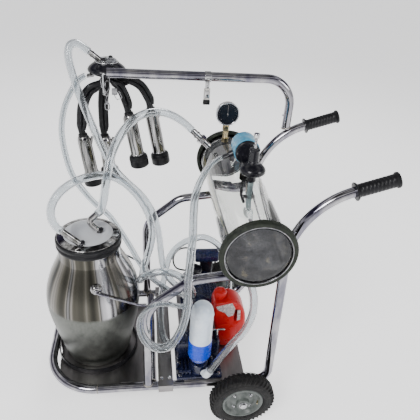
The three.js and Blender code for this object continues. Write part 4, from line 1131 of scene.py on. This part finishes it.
def build_pulsator():
    x, z = PULSATOR
    centre = at(x, 0, z)
    way = (0, 1, 0)
    piece = Piece("pulsator_body")
    black = [(0, 30.4), (28, 30.4), (33.4, 31.2), (35.6, 33.2), (35.6, 40), (34.8, 41.4), (0, 41.4)]
    piece.add(turned(rounded(black, 1.2), centre, way, 64), BLACK)
    for radius, width in ((14, 1.6), (27, 1.2)):
        rib = [(radius - width, 30.8), (radius - width * 0.5, 30.1), (radius + width * 0.5, 30.1),
               (radius + width, 30.8)]
        piece.add(turned(rib, centre, way, 48), BLACK)
    cap = [(34, 40.6), (37.4, 41), (38.2, 42.2), (38.4, 70), (37.6, 71), (37.6, 73), (38.4, 74), (38.2, 96),
           (36.8, 103), (32.4, 110), (23, 115.4), (11, 118), (0, 118.6)]
    piece.add(turned(rounded(cap, 1.6), centre, way, 72), BLUE)
    for a in around(6, math.pi / 6):
        piece.add(rod(round_y(centre, 38.2, a, 78), round_y(centre, 38.2, a, 98), 1.3, 6), BLUE)
    for a in around(6):
        bolt(piece, round_y(centre, 30, a, 31), (0, -1, 0), 4, 0.9, washer=False)
    piece.add(block((108.4, 0.4, 747.6), (135.6, 65.6, 771.6), 3), BLACK)
    for y in (8, 58):
        for side_x in (112, 132):
            bolt(piece, at(side_x, y, 771), (0, 0, 1), 3.6, 2.4, washer=False)
    nozzle_root, nozzle_tip = at(98, 66, 783), at(60.5, 70, 764)
    piece.add(rod(nozzle_root, nozzle_tip, 5, 20, chamfer=0.4), BLACK)
    piece.add(rod(nozzle_root, nozzle_root.lerp(nozzle_tip, 0.55), 10.6, 28), BLACK)
    for side in (-1, 1):
        shift = Vector((0, mm(5.4) * side, 0))
        piece.add(rod(nozzle_root.lerp(nozzle_tip, 0.5) + shift, nozzle_tip + shift, 4.6, 18), BLACK)
    piece.done(nodes=["pulsator"])


REG = (124.0, -45.0)


def build_regulator():
    x, y = REG
    body = Piece("regulator_body")
    mushroom = [(0, 747.4), (12.6, 747.4), (12.6, 764), (19, 767), (30, 771), (35.4, 776), (35.6, 784),
                (33, 789), (27, 795), (16, 799), (14.6, 801), (0, 801)]
    body.add(turned(rounded(mushroom, 1.6), at(x, y, 0), segments=64), BLACK)
    for a in around(24):
        spot = at(x + 35 * math.cos(a), y + 35 * math.sin(a), 775.6)
        body.add(rod(spot, spot + Vector((0, 0, mm(9))), 0.7, 6), BLACK)
    sleeve = [(14.6, 800), (14.8, 806), (13.4, 808), (13.4, 836), (14.6, 838), (14.6, 841), (12.4, 841.8),
              (4.4, 841.8), (4.4, 831)]
    body.add(turned(rounded(sleeve, 0.8), at(x, y, 0), segments=48), BLACK)
    body.done(nodes=["regulator"])
    screw = Piece("regulator_screw_steel")
    screw.add(rod(at(x, y, 831.4), at(x, y, 874), 3.4, 20), BRIGHT_STEEL)
    screw.add(helix(at(x, y, 843), (0, 0, 1), 3.4, 0.5, 1.5, 19), BRIGHT_STEEL)
    knob = [(0, 872.2), (7, 872.2), (8.3, 874), (8.3, 883), (7, 885.6), (0, 885.8)]
    screw.add(turned(rounded(knob, 1), at(x, y, 0), segments=32), BRIGHT_STEEL)
    screw.done("regulator_screw", nodes=["regulator_screw"])


# ---- bucket, lid and bail -------------------------------------------------------------------
LUG_TURN = 0.2
BAIL = dict(reach=125.0, half=131.0, z=424.0, droop=0.54, wire=3.4)
NECK_TOP = BUCKET["bottom"] + 436
LID_Z = NECK_TOP + 29.3


def lug_point(side, across, along=0.0):
    """A point from the bail's hinge line: across the can towards the near lug, and out along the bail."""
    droop = BAIL["droop"]
    c, s = math.cos(LUG_TURN), math.sin(LUG_TURN)
    x = BUCKET["x"] + side * across * s + along * c * math.cos(droop)
    y = BUCKET["y"] - side * across * c + along * s * math.cos(droop)
    return at(x, y, BAIL["z"] - along * math.sin(droop))


def build_bucket():
    centre = at(BUCKET["x"], BUCKET["y"], BUCKET["bottom"])
    outside = [(0, 0.4), (93, 0.2), (97, 0), (102.4, 4), (104, 14), (106, 18), (111, 34), (117.4, 64),
               (124, 100), (132.6, 140), (139.2, 180), (143.6, 210), (144.9, 236), (144, 258), (140.9, 280),
               (135.6, 302), (128.8, 322), (121.6, 341), (114, 357), (104.6, 376), (97.4, 391), (92.6, 404),
               (91.6, 416), (91.6, 431), (92, 434), (91.8, 435.8)]
    inside = [(r - 1.6, h) for r, h in outside[5:][::-1]]
    inside[0] = (90.2, 435.8)
    piece = Piece("bucket_can")
    piece.add(turned(rounded(outside, 1.5) + inside + [(94, 6), (0, 6)], centre, segments=128), BUCKET_STEEL)
    for h, r in ((22, 107.4), (398, 93.6)):
        bead = [(r - 1.4, h - 3), (r + 0.4, h - 1.6), (r + 0.9, h), (r + 0.4, h + 1.6), (r - 1.4, h + 3)]
        piece.add(turned(bead, centre, segments=128), BUCKET_STEEL)
    for side in (1, -1):
        way = (lug_point(side, 130) - lug_point(side, 110)).normalized()
        knob = [(0, 0), (19, 0), (19, 3), (17.4, 8), (14.6, 12.4), (11, 15), (0, 16)]
        piece.add(turned(rounded(knob, 1.2), lug_point(side, 110.4), way, 40), SHELL_STEEL)
    piece.done(nodes=["bucket"])


def build_bail():
    piece = Piece("bail_wire")
    half, reach = BAIL["half"], BAIL["reach"]
    path = [lug_point(1, half - 4, 0), lug_point(1, half + 1.6, 0.6), lug_point(1, half + 3, 5)]
    for k in range(41):
        a = math.pi * k / 40
        path.append(lug_point(1, (half + 3) * math.cos(a), reach + half * math.sin(a)))
    path += [lug_point(-1, half + 3, 5), lug_point(-1, half + 1.6, 0.6), lug_point(-1, half - 4, 0)]
    piece.add(sweep(path, BAIL["wire"], 18), TUBE_STEEL)
    for side in (1, -1):
        way = (lug_point(side, 140) - lug_point(side, 120)).normalized()
        washer = rounded([(0, 0), (7, 0), (7, 1.4), (0, 1.4)], 0.4)
        piece.add(turned(washer, lug_point(side, half - 3.6), way, 28), TUBE_STEEL)
    piece.done("bail", nodes=["bail"])


def build_lid():
    centre = at(BUCKET["x"], BUCKET["y"], 0)
    gasket = Piece("lid_gasket_rubber")
    lip = [(82.2, NECK_TOP + 0.4), (93.4, NECK_TOP + 0.4), (95.6, NECK_TOP + 3), (95.8, NECK_TOP + 8),
           (93.4, NECK_TOP + 11.6), (92.4, NECK_TOP + 14), (93.4, NECK_TOP + 16.4), (95.8, NECK_TOP + 19.6),
           (95.6, NECK_TOP + 25), (93, NECK_TOP + 28.8), (82.2, NECK_TOP + 28.8), (82.2, NECK_TOP + 0.4)]
    gasket.add(turned(rounded(lip, 1.4), centre, segments=112), RUBBER)
    gasket.done("lid", nodes=["lid_gasket"])
    lid = Piece("lid_dome")
    rim = [(81, LID_Z - 3.6), (81.4, LID_Z + 0.4), (90.4, LID_Z + 0.4), (90.9, LID_Z + 1.6),
           (89.6, LID_Z + 2.9), (80, LID_Z + 5.4), (72, LID_Z + 8.2), (70.6, LID_Z + 7.2), (72, LID_Z + 5.2)]
    lid.add(turned(rounded(rim, 0.8), centre, segments=112), SHELL_STEEL)
    dome = [(72, LID_Z + 5), (71.4, LID_Z + 8), (60, LID_Z + 11.6), (44, LID_Z + 14.2), (24, LID_Z + 16.2),
            (0, LID_Z + 16.8)]
    lid.add(turned(rounded(dome, 0.8), centre, segments=112), LID_CLEAR)
    liner = [(0, LID_Z - 3.8), (70, LID_Z - 3.8), (70, LID_Z + 3), (0, LID_Z + 5)]
    lid.add(turned(liner, centre, segments=96), PALE)
    inlet_root = at(-340, -60, LID_Z + 2)
    inlet_tip = at(MILK_INLET[0] + 0.3, MILK_INLET[1], MILK_INLET[2] - 0.3)
    lid.add(rod(inlet_root, inlet_tip, 9.2, 28), SHELL_STEEL)
    lid.add(turned(rounded([(0, 0), (14, 0), (14, 5), (11, 9), (0, 9)], 1), inlet_root.lerp(inlet_tip, 0.1),
                   (inlet_tip - inlet_root), 32), BLACK)
    elbow_tip = (AIR_ELBOW[0] - 0.3, AIR_ELBOW[1], AIR_ELBOW[2] - 0.3)
    elbow = bent([(-290, 0, LID_Z), (-331, 3, 588, 14), elbow_tip], 14)
    lid.add(sweep(elbow, 9.2, 28), SHELL_STEEL)
    lid.add(turned(rounded([(0, 0), (15, 0), (15, 5), (12, 9), (0, 9)], 1), elbow[0].lerp(elbow[1], 0.3),
                   elbow[1] - elbow[0], 32), BLACK)
    lid.done("lid", nodes=["lid"])


# ---- pump, oil jar and motor ----------------------------------------------------------------
PUMP_BASE = TRAY_Z + 2.3
PUMP_TOP = 142
PUMP_FACE = dict(x=-6.0, y=-150.4, z=184.0)
JAR = (-6.0, -184.0)
CAPACITOR = (176.0, 326.0)
SWITCH_BOX = (2.0, 132.0)


def build_pump():
    pump = Piece("vane_pump_body")
    x, y, z = PUMP_FACE["x"], PUMP_FACE["y"], PUMP_FACE["z"]
    pump.add(block((-77.6, -217.6, PUMP_BASE), (67.6, -88.4, PUMP_TOP), 3), PUMP_PAINT)
    pump.add(block((-75.6, -145.6, PUMP_TOP - 1), (63.6, -90.4, 221.6), 9, 4), PUMP_PAINT)
    pump.add(rod(at(x, -140, z), at(x, y, z), 35, 48, chamfer=2), PUMP_PAINT)
    pump.add(rod(at(x, y + 1.4, z), at(x, y - 3.2, z), 18, 40, chamfer=1.5), PUMP_PAINT)
    for a in around(8, 0.39):
        bolt(pump, round_y(at(x, y, z), 29, a), (0, -1, 0), 4.5, 4)
    for x in range(-66, 55, 15):
        pump.add(block((x - 2.4, -146.6, 216), (x + 2.4, -92, 229.6), 1.2), PUMP_PAINT)
    for z in range(156, 214, 13):
        pump.add(block((-77.6, -142, z), (65.6, -94, z + 4), 1.2), PUMP_PAINT)
    pump.add(rod(at(*JAR, PUMP_TOP - 1), at(*JAR, 181.6), 27.6, 40, chamfer=2), PUMP_PAINT)
    pump.add(rod(at(-68, -105, 172), at(-78, -105, 172), 13.6, 32), BRIGHT_STEEL)
    for x, y in ((-66, -206), (56, -206), (-66, -156), (56, -156)):
        bolt(pump, at(x, y, PUMP_TOP), (0, 0, 1), 7, 5.5)
    for x in (-58, -46, -34):
        pump.add(block((x - 3, -208, 140), (x + 3, -150, 156), 1.6), PUMP_PAINT)
    pump.add(rod(at(-70, -200, 152), at(-30, -200, 152), 5, 20), PUMP_PAINT)
    pump.add(rod(at(-71, -200, 152), at(-76, -200, 152), 6.4, 6), CHAIN)
    for y in (-176, -164):
        pump.add(rod(at(-72, y, 146), at(-72, y, 168), 5, 20), PUMP_PAINT)
        bolt(pump, at(-72, y, 168), (0, 0, 1), 5, 4, washer=False)
    pump.add(rod(at(30, -196, 150), at(62, -196, 150), 6, 20), PUMP_PAINT)
    pump.add(rod(at(34, -168, 141), at(34, -168, 176), 8, 24), PUMP_PAINT)
    bolt(pump, at(34, -168, 176), (0, 0, 1), 8, 5, washer=False)
    pump.done(nodes=["vane_pump"])


def build_oil_jar():
    jar = Piece("oil_jar_bottle")
    centre = at(*JAR, 0)
    cup = [(0, 182.6), (9, 182.6), (12, 186), (20, 189), (29, 199), (33.4, 209), (35, 216)]
    jar.add(turned(rounded(cup, 1.4), centre, segments=56), DOME)
    oil = [(0, 190), (22, 193), (29.6, 203), (33, 212), (34.2, 222), (0, 222)]
    jar.add(turned(rounded(oil, 1.2), centre, segments=48), DEEP_BLUE)
    jar.add(rod(at(*JAR, 183.4), at(*JAR, 196), 5, 20), BRIGHT_STEEL)
    blue = [(35, 216), (35.8, 219), (35.8, 278.6), (35.0, 281.4)]
    jar.add(turned(rounded(blue, 0.8), centre, segments=56), DEEP_BLUE)
    bead = [(35.2, 218.6), (35.95, 220), (35.95, 222), (35.2, 223.4)]
    jar.add(turned(bead, centre, segments=56), DEEP_BLUE)
    milky = [(35.0, 281.4), (34.3, 283), (34.3, 384), (34.8, 385.4), (34.8, 388), (34.0, 390), (32, 402),
             (28, 411.4), (22, 419), (14, 425.4), (6, 429), (0, 430)]
    jar.add(turned(rounded(milky, 1.2), centre, segments=56), MILKY)
    jar.done(nodes=["oil_jar"])


def build_pump_fittings():
    elbow = Piece("pump_elbow_steel")
    path = bent([(10, -213, 160), (12, -228, 159, 11), (24, -226.6, 180.6)], 10)
    elbow.add(sweep(path, 12.2, 28), PALE)
    collar = rounded([(0, 0), (13.4, 0), (13.4, 5), (0, 5)], 1)
    elbow.add(turned(collar, path[0], path[1] - path[0], 32), PALE)
    elbow.add(rod(path[-1] - (path[-1] - path[-2]).normalized() * mm(4), path[-1], 13.4, 28), PALE)
    elbow.done(nodes=["pump_elbow"])

    lever = Piece("pump_lever_steel")
    lever.add(rod(at(54, -122, 230.6), at(54, -122, 255.8), 5.6, 24), BRIGHT_STEEL)
    lever.add(block((32.4, -125.4, 248.4), (81.6, -118.6, 255), 2.4, 3), BRIGHT_STEEL)
    bolt(lever, at(54, -122, 250.6), (0, 0, 1), 5, 5, washer=False)
    lever.done("lever", nodes=["pump_lever"])


def build_motor():
    x, z = MOTOR["x"], MOTOR["z"]
    centre = at(x, 0, z)
    motor = Piece("motor_body")
    shell = [(0, 10.2), (18, 10.2), (20, 12), (50, 12.6), (60, 17), (65, 26), (65.4, 36), (65.4, 160),
             (66.4, 164), (66.4, 180), (62, 187), (50, 189.4), (0, 189.6)]
    motor.add(turned(rounded(shell, 1.6), centre, (0, 1, 0), 64), PUMP_PAINT)
    for a in around(34):
        if math.sin(a) < -0.55:
            continue
        turn = Matrix.Rotation(-a + math.pi / 2, 3, "Y")
        fin = block((x - 1.1, 36, z + 64), (x + 1.1, 158, z + 69.8), 0.6, 1, turn, centre)
        motor.add(fin, PUMP_PAINT)
    motor.add(block((x - 57.6, 50, PUMP_BASE), (x + 57.6, 150, PUMP_BASE + 8), 2), PUMP_PAINT)
    motor.add(block((x - 40, 62, PUMP_BASE + 6), (x + 40, 138, z - 40), 4), PUMP_PAINT)
    for sx in (-48, 48):
        for sy in (62, 138):
            bolt(motor, at(x + sx, sy, PUMP_BASE + 8), (0, 0, 1), 7, 5.5)
    motor.add(rod(at(8.4, *CAPACITOR), at(93.6, *CAPACITOR), 24.6, 48, chamfer=4), PUMP_PAINT)
    motor.add(rod(at(18, *CAPACITOR), at(24, *CAPACITOR), 24.95, 48, chamfer=0.4), PUMP_PAINT)
    motor.add(block((27, 161, 240), (75, 183, 316), 6, 3), BLACK)
    x, y = SWITCH_BOX
    motor.add(rod(at(x, y, 250), at(x, y, 294), 27, 48, chamfer=3), PUMP_PAINT)
    top = [(0, 290), (29, 290), (29.6, 292), (29.6, 300), (27, 303), (10, 303.8), (0, 303.8)]
    motor.add(turned(rounded(top, 1), at(x, y, 0), segments=48), BLACK)
    for a in around(4, math.pi / 4):
        spot = at(x + 21 * math.cos(a), y + 21 * math.sin(a), 301.5)
        bolt(motor, spot, (0, 0, 1), 3.4, 2.2, washer=False)
    cable = [(-24, 132, 292), (-62, 140, 300), (-72, 150, 338), (-52, 160, 366), (-14, 168, 366),
             (14, 174, 344)]
    motor.add(sweep(smooth_route(cable, 5), 3, 12), RUBBER)
    motor.done(nodes=["motor"])
    shaft = Piece("drive_shaft_steel")
    profile = [(0, -89.4), (8.8, -89.4), (8.8, -50), (19.6, -50), (19.6, -31), (17, -30), (17, -28),
               (19.6, -27), (19.6, -8), (8.8, -8), (8.8, 9.4), (0, 9.4)]
    shaft.add(turned(rounded(profile, 0.8), centre, (0, 1, 0), 40), BRIGHT_STEEL)
    shaft.done("shaft", nodes=["drive_shaft"])


# ---- oil can --------------------------------------------------------------------------------
CAN_NECK = (68.0, -52.0)
# Outlines of the pale sheets on the can's near face, on its shoulder and beside its hole: painted
# highlights.
PAINTED_HIGHLIGHT_PATCHES = (
    ((52, 316), (78, 324), (104, 330), (116, 306), (112, 276), (96, 270), (84, 288), (62, 300)),
    ((124, 300), (134, 298), (137, 256), (126, 252)),
)


def build_oil_can():
    outline = [(78, PUMP_BASE), (134, PUMP_BASE), (142, 148), (149, 178), (155, 208), (157, 236),
               (155.6, 258), (152, 280), (145, 299), (134, 315), (120, 326), (106, 332), (92, 334),
               (86, 331), (60, 326), (49, 320), (47, 304), (47, 286), (50, 252), (56, 218), (61, 192),
               (68, 168), (73, 146)]
    bm = bmesh.new()
    points, faces = prism(outline, -12, -86, 9, 4)
    verts = [bm.verts.new(p) for p in points]
    for face in faces:
        bm.faces.new([verts[i] for i in face])
    body_mesh = bpy.data.meshes.new("can_body")
    bm.to_mesh(body_mesh)
    bm.free()
    body = bpy.data.objects.new("can_body", body_mesh)
    cutter_points, cutter_faces = prism([(115, 254), (118, 250.4), (128, 250.4), (131.4, 254), (131.4, 297),
                                         (127, 301.6), (119, 301.6), (114.6, 297)], -4, -96, 0)
    cutter_mesh = bpy.data.meshes.new("can_hole")
    cutter_mesh.from_pydata([tuple(p) for p in cutter_points], [], cutter_faces)
    cutter = bpy.data.objects.new("can_hole", cutter_mesh)
    for obj in (body, cutter):
        bpy.context.scene.collection.objects.link(obj)
    hole = body.modifiers.new("hole", "BOOLEAN")
    hole.operation = "DIFFERENCE"
    hole.solver = "EXACT"
    hole.object = cutter
    soft = body.modifiers.new("soft", "BEVEL")
    soft.width = mm(2.4)
    soft.segments = 3
    soft.limit_method = "ANGLE"
    soft.angle_limit = math.radians(50)
    graph = bpy.context.evaluated_depsgraph_get()
    made = bpy.data.meshes.new_from_object(body.evaluated_get(graph))
    shape = [v.co.copy() for v in made.vertices], [list(p.vertices) for p in made.polygons]
    for obj in (body, cutter):
        bpy.data.objects.remove(obj)
    can = Piece("oil_can_body")
    can.add(shape, RED)
    can.add(block((60, -87.0, 150), (126, -84.4, 236), 1.2), RED)
    x, y = CAN_NECK
    can.add(rod(at(x, y, 320), at(x, y, 334), 15.6, 40), RED)
    # Painted highlights: pale sheets laid just off the can's near face.
    for outline in PAINTED_HIGHLIGHT_PATCHES:
        can.add(prism(outline, -87.4, -86.2, 0.4, 1), PAINTED_HIGHLIGHT)
    can.done("oil_can", nodes=["oil_can"])
    cap = Piece("oil_cap_plastic")
    shell = [(0, 336.6), (19.6, 336.6), (20.6, 338.4), (20.6, 351), (18.6, 356), (12, 359), (0, 359.6)]
    cap.add(turned(rounded(shell, 1.4), at(x, y, 0), segments=48), RED)
    for a in around(30):
        spot = at(x + 20.6 * math.cos(a), y + 20.6 * math.sin(a), 338.4)
        cap.add(rod(spot, spot + Vector((0, 0, mm(12))), 0.9, 6), RED)
    cap.done("oil_cap", nodes=["oil_cap"])


build_frame()
build_trays()
build_bucket_floor()
build_wheels()
build_grips()
build_arm()
build_strap()
build_teatcups()
build_claw()
build_tank()
build_gauge()
build_pulsator()
build_regulator()
build_bucket()
build_bail()
build_lid()
build_pump()
build_oil_jar()
build_pump_fittings()
build_motor()
build_oil_can()


# ---- studio ---------------------------------------------------------------------------------
def build_studio():
    mesh = bpy.data.meshes.new("floor")
    mesh.from_pydata([(-40, -40, 0), (40, -40, 0), (40, 40, 0), (-40, 40, 0)], [], [(0, 1, 2, 3)])
    floor = bpy.data.objects.new("floor", mesh)
    bpy.context.scene.collection.objects.link(floor)
    material, tree, shader = nodes_of("floor_white")
    shader.inputs["Base Color"].default_value = (0.93, 0.93, 0.93, 1)
    shader.inputs["Roughness"].default_value = 0.9
    shader.inputs["Emission Color"].default_value = (1, 1, 1, 1)
    shader.inputs["Emission Strength"].default_value = 0.9
    mesh.materials.append(material)

    world = bpy.data.worlds.new("world")
    world.use_nodes = True
    bpy.context.scene.world = world
    tree = world.node_tree
    place = tree.nodes.new("ShaderNodeTexCoord")
    split = tree.nodes.new("ShaderNodeSeparateXYZ")
    tree.links.new(place.outputs["Generated"], split.inputs["Vector"])
    lift = tree.nodes.new("ShaderNodeMath")
    lift.operation = "MULTIPLY_ADD"
    lift.inputs[1].default_value = 0.5
    lift.inputs[2].default_value = 0.5
    tree.links.new(split.outputs["Z"], lift.inputs[0])
    bright, violet, dark = (1.0, 1.0, 1.0), (0.08, 0.07, 0.13), (0.04, 0.04, 0.045)
    bands = [(0.0, bright), (0.66, bright), (0.70, violet), (0.81, violet), (0.85, bright), (0.915, bright),
             (0.935, dark), (0.968, dark), (0.985, (0.5, 0.5, 0.5))]
    sky = ramp(tree, lift.outputs[0], bands)
    tree.links.new(sky, tree.nodes["Background"].inputs["Color"])
    tree.nodes["Background"].inputs["Strength"].default_value = 0.9

    for name, place, aim, size, power in (
        ("key", (-1.6, -2.2, 2.8), (0, 0, 0.4), 1.2, 85),
        ("fill", (2.6, -1.6, 2.0), (0, 0, 0.4), 1.2, 34),
        ("back", (0.4, 2.6, 2.6), (0, 0, 0.3), 1.4, 48),
    ):
        data = bpy.data.lights.new(name, "AREA")
        data.size = size
        data.energy = power
        light = bpy.data.objects.new(name, data)
        light.location = place
        light.rotation_euler = (Vector(aim) - Vector(place)).to_track_quat("-Z", "Y").to_euler()
        light.visible_glossy = name != "back"
        bpy.context.scene.collection.objects.link(light)


build_studio()
